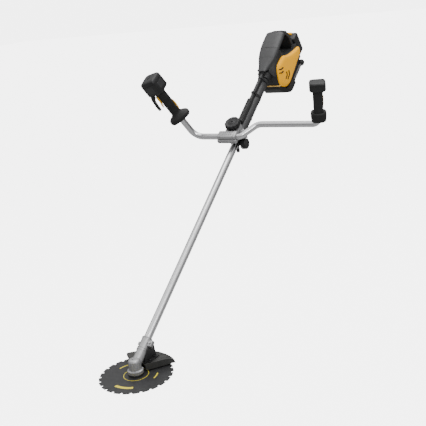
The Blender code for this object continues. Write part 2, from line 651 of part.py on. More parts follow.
def make_right_grip():
    """Trigger grip: sleeve with a lower flange, switch head, levers and what they press."""
    frame = RIGHT_FRAME
    sections = [rounded(20.0, 17.0, RIGHT_FLANGE - 16.0, 2.4), rounded(42.0, 27.0, RIGHT_FLANGE - 12.0, 3.0),
                rounded(45.0, 29.0, RIGHT_FLANGE + 2.0, 3.0), rounded(36.0, 25.0, RIGHT_FLANGE + 10.0, 3.0),
                rounded(21.0, 18.0, RIGHT_FLANGE + 20.0, 2.4), rounded(20.0, 17.5, 165.0, 2.4),
                rounded(21.0, 18.5, 205.0, 2.4), rounded(20.0, 18.5, 235.0, 2.6),
                rounded(24.0, 22.0, RIGHT_HEAD - HEAD_WIDTH / 2.0 - GAP, 3.0)]
    grip = place("right_grip", loft(sections), frame, RUBBER)
    cut(grip, place("right_grip_bore", cylinder(BAR_RADIUS + GAP, 50.0, 320.0), frame),
        place("trigger_slot", box((12.6, -9.3, 182.0), (40.0, 9.3, 243.0)), frame),
        place("lock_slot", box((-40.0, -10.8, 140.0), (-14.0, 10.8, 192.0)), frame))
    half = HEAD_WIDTH / 2.0
    low, high = RIGHT_HEAD - half, RIGHT_HEAD + half
    head = place("switch_head", loft([rounded(half - 7.0, half - 7.0, low, 4.0),
                                      rounded(half, half, low + 6.0, 5.0),
                                      rounded(half, half, high - 14.0, 5.0),
                                      rounded(half - 4.0, half - 4.0, high - 5.0, 5.0),
                                      rounded(half - 13.0, half - 13.0, high, 4.0)]),
                 frame, BLACK, turn=(0.0, 0.0, 45.0))
    cut(head, place("head_socket", box((-14.0, -14.0, low - 5.0), (14.0, 14.0, high - 12.0)), frame),
        place("button_hole", cylinder(6.3, high - 20.0, high + 5.0, 24), frame))
    place("speed_button", cylinder(6.0, high - 8.0, high + 2.0, 24), frame, GREY)
    make_levers(frame)


def make_levers(frame):
    """Trigger, the switch it presses, lock-off lever and finger guard."""
    trigger = [(14.5, 238.0), (22.0, 240.0), (27.0, 232.0), (25.0, 215.0), (29.0, 192.0), (24.5, 185.0),
               (20.5, 200.0), (18.5, 222.0), (14.5, 230.0)]
    lever = place("trigger", plate([trigger], -8.5, 8.5), frame, YELLOW, turn=(90.0, 0.0, 0.0))
    hang_on(add_frame("trigger_pivot", (18.3, 0.0, 235.0), parent=frame), lever)
    place("trigger_switch", box((12.9, -5.0, 196.0), (15.5, 5.0, 214.0)), frame, BLACK)
    lock_off = [(-14.6, 144.0), (-19.0, 142.5), (-22.5, 152.0), (-24.0, 178.0), (-20.0, 190.0),
                (-18.0, 178.0), (-17.0, 154.0)]
    lever = place("lock_off_lever", plate([lock_off], -10.0, 10.0), frame, YELLOW, turn=(90.0, 0.0, 0.0))
    hang_on(add_frame("lock_off_pivot", (-16.8, 0.0, 145.5), parent=frame), lever)
    top = RIGHT_HEAD - HEAD_WIDTH / 2.0
    guard = [(25.0, top - GAP), (38.0, top - GAP), (40.0, top - 14.0), (41.0, 226.0), (44.0, 205.0),
             (43.0, 190.0), (38.5, 190.0), (37.5, 205.0), (35.5, 226.0), (33.0, top - 12.0),
             (25.0, top - 9.0)]
    place("finger_guard", plate([guard], -8.0, 8.0), frame, BLACK, turn=(90.0, 0.0, 0.0))


def make_left_grip():
    """Plain grip: sleeve with a cupped flange, and the head block on top."""
    sections = [rounded(26.0, 25.0, LEFT_CUP, 2.6), rounded(29.0, 28.0, LEFT_CUP + 4.0, 2.6),
                rounded(31.0, 30.0, LEFT_CUP + 30.0, 2.8), rounded(29.0, 28.0, LEFT_CUP + 37.0, 2.8),
                rounded(21.0, 20.0, LEFT_CUP + 42.0, 2.6), rounded(18.5, 17.5, LEFT_CUP + 49.0, 2.4),
                rounded(18.0, 17.5, 84.0, 2.4), rounded(20.0, 19.0, 112.0, 2.4),
                rounded(22.0, 21.0, LEFT_HEAD - 19.3, 3.0)]
    grip = place("left_grip", loft(sections), LEFT_FRAME, RUBBER)
    cut(grip, place("left_grip_bore", cylinder(BAR_RADIUS + GAP, 5.0, 150.0), LEFT_FRAME),
        place("left_cup_mouth", cylinder(22.0, 0.0, LEFT_CUP + 21.0), LEFT_FRAME))
    half = LEFT_WIDTH / 2.0
    place("left_grip_head", loft([rounded(half - 5.0, half - 5.0, LEFT_HEAD - 19.0, 4.0),
                                  rounded(half, half, LEFT_HEAD - 12.0, 5.0),
                                  rounded(half, half, LEFT_HEAD + 10.0, 5.0),
                                  rounded(half - 4.0, half - 4.0, LEFT_HEAD + 18.0, 5.0)]),
          LEFT_FRAME, BLACK)


# ---------------------------------------------------------------- power head

def make_motor():
    """Stator, rotor on the shaft's axis, and the fan behind it."""
    place("motor_stator", ring([(29.5, 1476.0), (29.5, 1438.0), (18.6, 1438.0), (18.6, 1476.0)], 24),
          SHAFT_FRAME, COPPER, turn=ALONG_Y)
    turned("motor_rotor", [(0.0, 1494.0), (5.0, 1494.0), (5.0, 1474.0), (18.0, 1474.0), (18.0, 1440.0),
                           (5.0, 1440.0), (5.0, 1401.8), (0.0, 1401.8)], SHAFT_FRAME, STEEL,
           turn=ALONG_Y, steps=24)
    blades = 11
    star = []
    for i in range(blades * 4):
        reach = 26.0 if i % 4 < 2 else 13.0
        angle = 2.0 * math.pi * i / (blades * 4)
        star.append((reach * math.cos(angle), reach * math.sin(angle)))
    place("cooling_fan", plate([star, flat_circle(5.3, 20)], 1480.0, 1491.0), SHAFT_FRAME, BLACK,
          turn=ALONG_Y)


def make_motor_housing():
    """Motor housing on the shaft's end, and the control board under the motor."""
    side = [(1396.0, -58.0), (1396.0, 22.0), (1409.0, 28.0), (HOUSING_BACK, 50.0),
            (HOUSING_BACK, -112.0), (1436.0, -112.0), (1405.0, -70.0)]
    motor = place("motor_housing", plate([side], -SIDE, SIDE), SHAFT_FRAME, BLACK, turn=SIDE_VIEW)
    soften(motor, 5.0, 2)
    nose = place("housing_nose", cylinder(24.0, HOUSING_START, 1404.0, top_radius=28.0), SHAFT_FRAME,
                 turn=ALONG_Y)
    conduit_nose = place("conduit_nose", box((-11.0, HOUSING_START, 0.0), (11.0, 1397.0, 38.5)),
                         SHAFT_FRAME)
    join(motor, nose, soften(conduit_nose, 3.0, 2))
    for hand in (1.0, -1.0):
        sections = [[(hand * x, station, height) for x, height in section] for station, section in
                    ((1385.0, ((1.4, 37.0), (56.9, -37.2), (80.0, 60.0))),
                     (1432.0, ((25.0, 41.4), (49.0, 10.2), (80.0, 60.0))),
                     (1510.0, ((41.0, 60.0), (57.0, 36.0), (80.0, 60.0))))]
        cut(motor, place("shoulder_chamfer", loft(sections), SHAFT_FRAME))
    cut(motor, place("nose_bore", cylinder(TUBE_RADIUS + GAP, 1300.0, TUBE_END + GAP), SHAFT_FRAME,
                     turn=ALONG_Y),
        place("shaft_passage", cylinder(6.5, 1390.0, 1440.0, 24), SHAFT_FRAME, turn=ALONG_Y),
        place("motor_bore", cylinder(30.0, 1432.0, 1520.0), SHAFT_FRAME, turn=ALONG_Y),
        place("board_pocket", box((-36.0, 1440.0, -64.0), (36.0, 1520.0, -38.0)), SHAFT_FRAME))
    place("control_board", box((-33.0, 1446.0, -56.0), (33.0, 1496.0, -46.0)), SHAFT_FRAME, BOARD)


def make_battery_housing():
    """Housing behind the motor: a wall that closes it, a deck, and the battery's bay."""
    side = [(1500.4, 46.0), (1506.0, 46.0), (1508.0, 4.0), (1558.0, -21.0), (1642.0, -58.0),
            (1650.0, -66.0), (1650.0, -120.6), (1500.4, -120.6)]
    housing = place("battery_housing", plate([side], -SIDE, SIDE), SHAFT_FRAME, DARK, turn=SIDE_VIEW)
    soften(housing, 2.0)
    cut(housing, place("battery_bay", box((-38.6, 1512.0, -117.0), (38.6, 1700.0, -67.4)), SHAFT_FRAME))


def make_hood():
    """Open-bottomed hood over the motor housing, with its front end closed."""
    stations = ((1381.0, 16.5, 44.0, 40.5), (1398.0, 20.5, 48.0, 33.0), (1412.0, 25.5, 50.0, 31.5),
                (1430.0, 32.0, 53.0, 35.5), (1450.0, 37.5, 57.5, 40.5), (1475.0, 41.5, 63.0, 47.0),
                (1500.0, 43.0, 67.5, 53.0), (1525.0, 44.0, 71.0, 56.5), (1557.0, 43.5, 74.5, 58.0),
                (1590.0, 42.0, 76.5, 59.5))
    rows = []
    bm = bmesh.new()
    for station, half, top, bottom in stations:
        turns = [math.pi * step / 12.0 for step in range(13)]
        arch = [(math.copysign(abs(math.cos(a)) ** 0.7, -math.cos(a)) * half, math.sin(a) ** 0.7)
                for a in turns]
        rows.append([bm.verts.new(Vector((x, station, bottom + share * (top - bottom))) * MM)
                     for x, share in arch])
    bm.faces.new(rows[0])
    for near, far in zip(rows, rows[1:]):
        for i in range(len(near) - 1):
            bm.faces.new((near[i], near[i + 1], far[i + 1], far[i]))
    hood = place("hood", finished_mesh("hood", bm), SHAFT_FRAME, DARK)
    shell = hood.modifiers.new("Solidify", "SOLIDIFY")
    shell.thickness = 2.5 * MM
    shell.offset = 0.0


def make_handle():
    """Carry handle: the arch that closes the opening behind the hood."""
    path = [(1551.0, 67.5), (1592.0, 65.5), (1628.0, 38.0), (1643.0, 4.0), (1640.0, -75.0)]
    inner, outer = [], []
    for index, (along, height) in enumerate(path):
        before = Vector(path[max(index - 1, 0)])
        after = Vector(path[min(index + 1, len(path) - 1)])
        across = (after - before).normalized()
        normal = Vector((-across.y, across.x))
        outer.append(tuple(Vector((along, height)) + normal * 9.0))
        inner.append(tuple(Vector((along, height)) - normal * 9.0))
    handle = place("rear_handle", plate([outer + inner[::-1]], -30.0, 30.0), SHAFT_FRAME, GREY,
                   turn=SIDE_VIEW)
    soften(handle, 4.0, 2)
    bottom = place("handle_trim", plate([[(1558.0, -20.5), (1642.0, -57.5), (1652.0, -66.5),
                                          (1700.0, -66.5), (1700.0, -140.0), (1558.0, -140.0)]],
                                        -50.0, 50.0), SHAFT_FRAME, turn=SIDE_VIEW)
    top = place("handle_top_trim", box((-60.0, 1500.0, 20.0), (60.0, 1590.4, 120.0)), SHAFT_FRAME)
    cut(handle, bottom, top)


def cover_outline(grow, out):
    """The side cover's outline in the side view, grown about its middle, at a lateral place."""
    outline = [(1432.0, 16.0), (1478.0, 18.0), (1505.0, 13.0), (1528.0, -4.0), (1558.0, -23.0),
               (1606.0, -44.0), (1652.0, -64.0), (1645.0, -91.0), (1590.0, -97.0), (1520.0, -106.0),
               (1462.0, -110.5), (1428.0, -94.0), (1401.0, -60.0), (1406.0, -24.0)]
    middle = Vector((1520.0, -52.0))
    return [(out, *(middle + (Vector(point) - middle) * grow)) for point in outline]


def make_covers():
    """Bulged yellow cover on each side of the motor and the tail."""
    for name, side in (("left_cover", 1.0), ("right_cover", -1.0)):
        rings = [cover_outline(grow, side * out)
                 for grow, out in ((1.0, SIDE + GAP), (1.0, SIDE + 5.0), (0.93, SIDE + 10.0),
                                   (0.72, SIDE + 14.0))]
        place(name, loft(rings), SHAFT_FRAME, YELLOW)


def make_battery():
    """Battery pack with its latch."""
    pack = place("battery_pack", box((-38.0, 1516.0, -116.4), (38.0, 1690.0, -68.0)), SHAFT_FRAME, BLACK)
    soften(pack, 4.0, 2)
    block = place("battery_end", box((-39.0, 1655.0, -121.0), (39.0, 1704.0, -24.0)), SHAFT_FRAME)
    pocket = place("latch_pocket", box((-16.3, 1684.7, -38.0), (16.3, 1697.3, -10.0)), SHAFT_FRAME)
    cut(join(pack, soften(block, 7.0, 2)), pocket)
    latch = place("battery_latch", box((-16.0, 1685.0, -33.0), (16.0, 1697.0, -17.0)), SHAFT_FRAME, YELLOW)
    soften(latch, 2.0)


def make_skids():
    """Bumper under the front of the housing, with a bent rail through it and caps on its ends."""
    side = [(1392.5, -58.5), (1390.0, -72.0), (1407.0, -110.0), (1437.0, -136.0), (1460.0, -144.5),
            (1506.0, -144.5), (1506.0, -121.2), (1499.8, -121.2), (1499.8, -112.6), (1435.6, -112.6),
            (1404.2, -71.0), (1395.0, -58.5)]
    bumper = place("base_bumper", plate([side], -57.0, 57.0), SHAFT_FRAME, RUBBER, turn=SIDE_VIEW)
    ends = [(-RAIL_SIDE, RAIL_END), (RAIL_SIDE, RAIL_END)]
    corners = [(ends[0][0], RAIL_END, RAIL_HEIGHT), (-RAIL_SIDE, 1474.0, RAIL_HEIGHT),
               (RAIL_SIDE, 1474.0, RAIL_HEIGHT), (ends[1][0], RAIL_END, RAIL_HEIGHT)]
    path = rounded_path(corners, [14.0, 14.0], 4)
    place("skid_rail", wire(path, RAIL_RADIUS), SHAFT_FRAME, GREY)
    cut(bumper, place("rail_channel", wire(path, RAIL_RADIUS + GAP), SHAFT_FRAME))
    for hand in (1.0, -1.0):
        corner = [(hand * x, station) for x, station in ((38.0, 1385.0), (60.0, 1450.0), (80.0, 1450.0),
                                                         (80.0, 1385.0))]
        cut(bumper, place("bumper_taper", plate([corner], -170.0, -40.0), SHAFT_FRAME))
    for name, side_x in (("left_rail_cap", RAIL_SIDE), ("right_rail_cap", -RAIL_SIDE)):
        inner = RAIL_RADIUS + GAP
        turned(name, [(0.0, RAIL_END + 15.0), (8.0, RAIL_END + 13.0), (13.0, RAIL_END + 7.0),
                      (14.5, RAIL_END), (12.0, RAIL_END - 9.0), (inner, RAIL_END - 13.0),
                      (inner, RAIL_END + GAP), (0.0, RAIL_END + GAP)], SHAFT_FRAME, RUBBER,
               at=(side_x, 0.0, RAIL_HEIGHT), turn=ALONG_Y, steps=20)


# ---------------------------------------------------------------- whole machine

def world_of_shaft(lateral, station, height):
    """Where a point of the shaft frame would be if its origin were the world's."""
    slope = math.radians(SHAFT_SLOPE)
    return Vector((lateral, station * math.cos(slope) - height * math.sin(slope),
                   station * math.sin(slope) + height * math.cos(slope)))


clear_scene()
PARTS = new_collection("brush_cutter")
CUTTERS = new_collection("cutters")
bevel_centre = -world_of_shaft(0.0, EYELET_STATION, -EYELET_DROP)
BLADE_FRAME = add_frame("blade_frame", bevel_centre - Vector((0.0, 0.0, BEVEL_HEIGHT)))
SHAFT_ROOT = add_frame("bevel_frame", bevel_centre)
SHAFT_FRAME = add_frame("shaft_frame", bevel_centre, (SHAFT_SLOPE, 0.0, 0.0))
FOLD_FRAME = add_frame("handlebar_fold", (0.0, PIVOT_STATION, 0.0), parent=SHAFT_FRAME)
RIGHT_FRAME = aimed_frame("right_grip_frame", (RIGHT_END, BAR_STATION - PIVOT_STATION, BAR_HEIGHT),
                          RIGHT_LEAN, TRIGGER_SIDE, FOLD_FRAME)
LEFT_FRAME = aimed_frame("left_grip_frame", (LEFT_END, BAR_STATION + JOG_RISE - PIVOT_STATION, BAR_HEIGHT),
                         LEFT_LEAN, LEFT_FRONT, FOLD_FRAME)
make_blade_stack()
make_gears()
make_spindle()
make_gear_case()
make_guard()
make_shaft()
make_upper_shaft()
make_clamp()
make_handlebar()
make_hanger()
make_right_grip()
make_left_grip()
make_motor()
make_motor_housing()
make_battery_housing()
make_hood()
make_handle()
make_covers()
make_battery()
make_skids()
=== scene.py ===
"""Looks of the battery brush cutter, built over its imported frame.

Each sub-assembly is a class. It draws in a placement of its own, in millimetres: the blade's
(X lateral, Y towards the user, Z up), the shaft's (X lateral, Y up along the shaft, Z square to
it) or a grip's (Z along the grip). A finished piece keeps its place in its mesh, in metres.
"""

from __future__ import annotations

import json
import logging
import math
from collections.abc import Sequence
from dataclasses import dataclass, field
from enum import Enum

import bmesh
import bpy
from mathutils import Matrix, Vector

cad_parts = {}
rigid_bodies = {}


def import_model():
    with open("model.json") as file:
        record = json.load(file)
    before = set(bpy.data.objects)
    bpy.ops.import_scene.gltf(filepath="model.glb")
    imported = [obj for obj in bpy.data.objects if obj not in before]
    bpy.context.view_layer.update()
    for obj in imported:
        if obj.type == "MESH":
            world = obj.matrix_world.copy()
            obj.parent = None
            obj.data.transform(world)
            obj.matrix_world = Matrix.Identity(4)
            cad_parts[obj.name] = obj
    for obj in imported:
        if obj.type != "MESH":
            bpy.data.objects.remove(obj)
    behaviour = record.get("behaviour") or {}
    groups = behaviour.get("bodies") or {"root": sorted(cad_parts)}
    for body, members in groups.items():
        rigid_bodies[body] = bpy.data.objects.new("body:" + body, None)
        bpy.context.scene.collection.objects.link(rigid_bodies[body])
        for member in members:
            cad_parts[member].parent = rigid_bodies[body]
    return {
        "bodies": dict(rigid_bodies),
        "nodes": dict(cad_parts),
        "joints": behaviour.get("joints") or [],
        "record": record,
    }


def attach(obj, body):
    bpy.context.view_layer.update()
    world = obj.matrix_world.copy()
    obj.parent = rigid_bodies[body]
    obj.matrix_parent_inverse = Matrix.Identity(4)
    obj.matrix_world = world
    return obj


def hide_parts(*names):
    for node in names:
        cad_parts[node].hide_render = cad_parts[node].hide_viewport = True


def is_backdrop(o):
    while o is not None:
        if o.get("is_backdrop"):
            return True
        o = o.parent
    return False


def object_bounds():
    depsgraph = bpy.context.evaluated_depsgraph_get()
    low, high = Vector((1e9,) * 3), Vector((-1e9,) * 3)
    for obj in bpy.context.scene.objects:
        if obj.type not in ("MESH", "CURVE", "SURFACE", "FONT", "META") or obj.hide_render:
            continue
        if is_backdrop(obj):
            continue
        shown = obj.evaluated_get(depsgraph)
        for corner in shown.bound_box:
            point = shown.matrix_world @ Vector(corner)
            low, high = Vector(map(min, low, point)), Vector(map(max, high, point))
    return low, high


MM = 0.001
# The radius, in millimetres, that stands for none where a turned shape ends on its axis
TIP = 0.02
WHITE = (1.0, 1.0, 1.0, 1.0)
Point = Sequence[float]
LOG = logging.getLogger("brush_cutter")

# In the shaft's axes: where the bar bends up to the left grip, and how the two grips stand
LEFT_END = (358.5, 1066.0, 50.0)
LEFT_UP = (0.1, 0.42, 0.9)
LEFT_FACING = (0.40, -0.85, 0.35)
RIGHT_UP = (-0.27, 0.07, 0.96)
# How far the blade lies below the shaft's origin, and the right grip's foot from its trigger's pivot
BLADE_DROP = 31.7
RIGHT_FOOT = (-18.3, 0.0, -235.0)


class Body(Enum):
    """The rigid bodies of the frame that pieces ride on."""

    MACHINE = "machine"
    BLADE = "blade"
    HANDLEBAR = "handlebar"
    CLAMP_KNOB = "clamp_knob"
    HANGER_KNOB = "hanger_knob"
    TRIGGER = "trigger"
    LOCK_OFF = "lock_off_lever"
    SPEED_BUTTON = "speed_button"
    BATTERY = "battery"
    BATTERY_LATCH = "battery_latch"


# ------------------------------------------------------------------ places


@dataclass(frozen=True)
class Placement:
    """A right-handed set of axes in the frame, in which shapes are drawn in millimetres."""

    origin: Vector
    x: Vector
    y: Vector
    z: Vector

    def matrix(self) -> Matrix:
        """Return the matrix that carries millimetres here to metres in the frame."""
        turn = Matrix((self.x, self.y, self.z)).transposed().to_4x4()
        return Matrix.Translation(self.origin) @ turn @ Matrix.Scale(MM, 4)

    def direction(self, x: float, y: float, z: float) -> Vector:
        """Return a direction given along these axes as one in the frame."""
        return self.x * x + self.y * y + self.z * z

    def moved(self, x: float, y: float, z: float) -> Placement:
        """Return the same axes with their origin moved along them, in millimetres."""
        return Placement(self.origin + self.direction(x, y, z) * MM, self.x, self.y, self.z)

    def along_y(self) -> Placement:
        """Return axes whose Z runs along this Y, for what turns about the shaft."""
        return Placement(self.origin, self.x, -self.z, self.y)

    def side_view(self) -> Placement:
        """Return axes whose X and Y are this Y and Z, for outlines seen from the side."""
        return Placement(self.origin, self.y, self.z, self.x)

    def front_view(self) -> Placement:
        """Return axes whose X and Y are this X and Z, for outlines seen from along Y."""
        return Placement(self.origin, self.x, self.z, -self.y)

    def spun(self, degrees: float) -> Placement:
        """Return these axes turned about their own Z."""
        turn = Matrix.Rotation(math.radians(degrees), 3, self.z)
        return Placement(self.origin, turn @ self.x, turn @ self.y, self.z)


# Axes in which a shape is drawn in metres
METRES = Placement(Vector(), *(Vector(axis) / MM for axis in ((1, 0, 0), (0, 1, 0), (0, 0, 1))))


def joint_of(frame: dict, name: str) -> dict:
    """Return the frame's joint of that name."""
    return next(joint for joint in frame["joints"] if joint["name"] == name)


@dataclass(frozen=True)
class Places:
    """The placements that the frame's joints give."""

    blade: Placement
    shaft: Placement
    right_grip: Placement
    left_grip: Placement

    @classmethod
    def from_frame(cls, frame: dict) -> Places:
        """Work the placements out from the frame's joints.


        Returns:
            The placements of the blade, the shaft and the two grips.
        """
        spin = joint_of(frame, "drive_spin")
        lateral = Vector((1.0, 0.0, 0.0))
        along = Vector(spin["axis"]).normalized()
        shaft = Placement(Vector(spin["pos_m"]), lateral, along, lateral.cross(along))
        level = Placement(shaft.origin, lateral, Vector((0.0, 1.0, 0.0)), Vector((0.0, 0.0, 1.0)))
        pull = joint_of(frame, "trigger_pull")
        press = joint_of(frame, "speed_button_press")
        up = -Vector(press["axis"]).normalized()
        across = Vector(pull["axis"]).normalized()
        right = Placement(Vector(pull["pos_m"]), across.cross(up).normalized(), across, up)
        left_up = shaft.direction(*LEFT_UP).normalized()
        left_y = left_up.cross(shaft.direction(*LEFT_FACING)).normalized()
        left = Placement(shaft.moved(*LEFT_END).origin, left_y.cross(left_up), left_y, left_up)
        return cls(level.moved(0.0, 0.0, -BLADE_DROP), shaft, right.moved(*RIGHT_FOOT), left)


# ------------------------------------------------------------------ shapes


def circle(radius: float, height: float, count: int = 32) -> list[Vector]:
    """Return the points of a level circle.

    Args:
        radius: its radius.
        height: its height.
        count: how many points it has.

    Returns:
        Its points, anticlockwise from above.
    """
    turns = [2.0 * math.pi * i / count for i in range(count)]
    return [Vector((radius * math.cos(a), radius * math.sin(a), height)) for a in turns]


def squircle(half_x: float, half_y: float, height: float, power: float = 4.0,
             count: int = 32) -> list[Vector]:
    """Return a level rounded rectangle: a power of 2 is an ellipse, more is squarer.

    Args:
        half_x: half its width.
        half_y: half its depth.
        height: its height.
        power: how square it is.
        count: how many points it has.

    Returns:
        Its points, anticlockwise from above.
    """
    points = []
    for i in range(count):
        angle = 2.0 * math.pi * (i + 0.5) / count
        c, s = math.cos(angle), math.sin(angle)
        points.append(Vector((math.copysign(abs(c) ** (2.0 / power), c) * half_x,
                              math.copysign(abs(s) ** (2.0 / power), s) * half_y, height)))
    return points


def square_rings(rows: Sequence[Point]) -> list[list[Vector]]:
    """Return a fine rounded square for each row of half width, height and power."""
    return [squircle(half, half, height, power, 48) for half, height, power in rows]


def rounded_path(corners: Sequence[Point], radii: Sequence[float], steps: int = 10) -> list[Vector]:
    """Round each inner corner of a path with an arc.

    Args:
        corners: the path's ends and corners.
        radii: the bend radius at each inner corner.
        steps: how many pieces each arc has.

    Returns:
        The points of the rounded path.
    """
    points = [Vector(corners[0])]
    for before, corner, after, radius in zip(corners, corners[1:], corners[2:], radii):
        corner = Vector(corner)
        back = (Vector(before) - corner).normalized()
        ahead = (Vector(after) - corner).normalized()
        half = back.angle(ahead) / 2.0
        centre = corner + (back + ahead).normalized() * radius / math.sin(half)
        first = corner + back * radius / math.tan(half) - centre
        normal = back.cross(ahead).normalized()
        sweep = -(math.pi - 2.0 * half)
        points += [centre + Matrix.Rotation(sweep * i / steps, 3, normal) @ first
                   for i in range(steps + 1)]
    points.append(Vector(corners[-1]))
    return points


def grown(outline: Sequence[Point], distance: float) -> list[tuple[float, float]]:
    """Return a flat outline with each corner moved out (or in, if negative) by a distance.

    Args:
        outline: the outline's corners.
        distance: how far they move out, or in if it is negative.

    Returns:
        The moved corners.
    """
    count = len(outline)
    area = sum(outline[i - 1][0] * outline[i][1] - outline[i][0] * outline[i - 1][1]
               for i in range(count))
    side = 1.0 if area > 0.0 else -1.0
    moved = []
    for i in range(count):
        here = Vector(outline[i])
        one = (here - Vector(outline[i - 1])).normalized()
        two = (Vector(outline[(i + 1) % count]) - here).normalized()
        normal_one = Vector((one.y, -one.x)) * side
        normal_two = Vector((two.y, -two.x)) * side
        mid = (normal_one + normal_two).normalized()
        reach = distance / max(mid.dot(normal_one), 0.4)
        moved.append(tuple(here + mid * reach))
    return moved


def smooth_outline(outline: Sequence[Point], cuts: int = 4) -> list[tuple[float, float]]:
    """Return a closed outline rounded through its points by a Catmull-Rom curve.

    Args:
        outline: the points that it runs through.
        cuts: how many pieces each stretch between two of them has.

    Returns:
        The rounded outline.
    """
    count = len(outline)
    points = []
    for i in range(count):
        a, b, c, d = (Vector(outline[(i + k) % count]) for k in (-1, 0, 1, 2))
        for step in range(cuts):
            t = step / cuts
            points.append(tuple(0.5 * (2.0 * b + (c - a) * t + (2.0 * a - 5.0 * b + 4.0 * c - d) * t * t
                                       + (3.0 * b - a - 3.0 * c + d) * t ** 3)))
    return points


class Form:
    """A shape under way, in millimetres, to which solids are added one after another."""

    def __init__(self) -> None:
        """Start with nothing."""
        self.bm = bmesh.new()

    def loft(self, rings: Sequence[Sequence[Point]], closed: bool = False) -> Form:
        """Skin rings of equally many points.

        Args:
            rings: the rings, one after another.
            closed: whether the last ring joins the first; otherwise the ends are filled.

        Returns:
            This form.
        """
        loops = [[self.bm.verts.new(Vector(point)) for point in ring] for ring in rings]
        count = len(rings[0])
        pairs = list(zip(loops, loops[1:]))
        if closed:
            pairs.append((loops[-1], loops[0]))
        else:
            self.bm.faces.new(loops[0])
            self.bm.faces.new(loops[-1])
        for lower, upper in pairs:
            for i in range(count):
                j = (i + 1) % count
                self.bm.faces.new((lower[i], lower[j], upper[j], upper[i]))
        return self

    def lathe(self, profile: Sequence[Point], sides: int = 48) -> Form:
        """Turn a profile of (radius, height) about Z; a closed profile makes a ring.

        Args:
            profile: from one end on the axis to the other, or a closed loop off the axis.
            sides: how many sides the turned shape has.

        Returns:
            This form.
        """
        rings = [circle(max(radius, TIP), height, sides) for radius, height in profile]
        return self.loft(rings, closed=profile[0][0] > 0.0)

    def prism(self, outline: Sequence[Point], low: float, high: float) -> Form:
        """Raise a flat outline between two heights."""
        return self.loft([[(x, y, low) for x, y in outline], [(x, y, high) for x, y in outline]])

    def block(self, low: Point, high: Point) -> Form:
        """Add a box between two corners."""
        return self.prism([(low[0], low[1]), (high[0], low[1]), (high[0], high[1]), (low[0], high[1])],
                          low[2], high[2])

    def sweep(self, path: Sequence[Point], radius: float, sides: int) -> Form:
        """Run a round section along a path without twisting it.

        Args:
            path: the path's points.
            radius: the section's radius.
            sides: how many sides the section has.

        Returns:
            This form.
        """
        points = [Vector(point) for point in path]
        rings = []
        side = Vector((0.0, 0.0, 1.0))
        for i, point in enumerate(points):
            ahead = points[min(i + 1, len(points) - 1)] - points[max(i - 1, 0)]
            ahead.normalize()
            if abs(ahead.dot(side)) > 0.95:
                side = Vector((1.0, 0.0, 0.0))
            side = (side - ahead * side.dot(ahead)).normalized()
            other = ahead.cross(side)
            rings.append([point + (side * math.cos(a) + other * math.sin(a)) * radius
                          for a in (2.0 * math.pi * k / sides for k in range(sides))])
        return self.loft(rings)

    def mesh(self, name: str) -> bpy.types.Mesh:
        """Close the form and return it as a mesh, still in millimetres."""
        bmesh.ops.remove_doubles(self.bm, verts=self.bm.verts, dist=0.001)
        bmesh.ops.recalc_face_normals(self.bm, faces=self.bm.faces)
        mesh = bpy.data.meshes.new(name)
        self.bm.to_mesh(mesh)
        self.bm.free()
        return mesh


# ------------------------------------------------------------------ node trees


class Wiring:
    """Adds nodes to a tree and joins them."""

    def __init__(self, tree: bpy.types.NodeTree) -> None:
        """Take the tree to work in."""
        self.nodes, self.links = tree.nodes, tree.links

    def feed(self, socket: bpy.types.NodeSocket, value: object) -> None:
        """Link an output to an input, or give the input a plain value."""
        if isinstance(value, bpy.types.NodeSocket):
            self.links.new(value, socket)
        else:
            socket.default_value = value

    def fill(self, node: bpy.types.Node, **values: object) -> bpy.types.Node:
        """Set a node up.

        Args:
            node: the node.
            values: its settings, in small letters, and then what goes into its inputs, which
                have a capital and _ for a space.

        Returns:
            The node.
        """
        for name, value in values.items():
            if hasattr(node, name):
                setattr(node, name, value)
            else:
                self.feed(node.inputs[name.replace("_", " ")], value)
        return node

    def node(self, kind: str, **values: object) -> bpy.types.Node:
        """Add a node of a kind and set it up."""
        return self.fill(self.nodes.new(kind), **values)

    def maths(self, operation: str, *terms: object) -> bpy.types.NodeSocket:
        """Return the result of a sum on outputs and numbers."""
        node = self.node("ShaderNodeMath", operation=operation)
        for socket, term in zip(node.inputs, terms):
            self.feed(socket, term)
        return node.outputs["Value"]

    def vector(self, operation: str, *terms: object) -> bpy.types.NodeSocket:
        """Return the result of a sum on vectors."""
        node = self.node("ShaderNodeVectorMath", operation=operation)
        for socket, term in zip(node.inputs, terms):
            self.feed(socket, term)
        return node.outputs["Vector"]


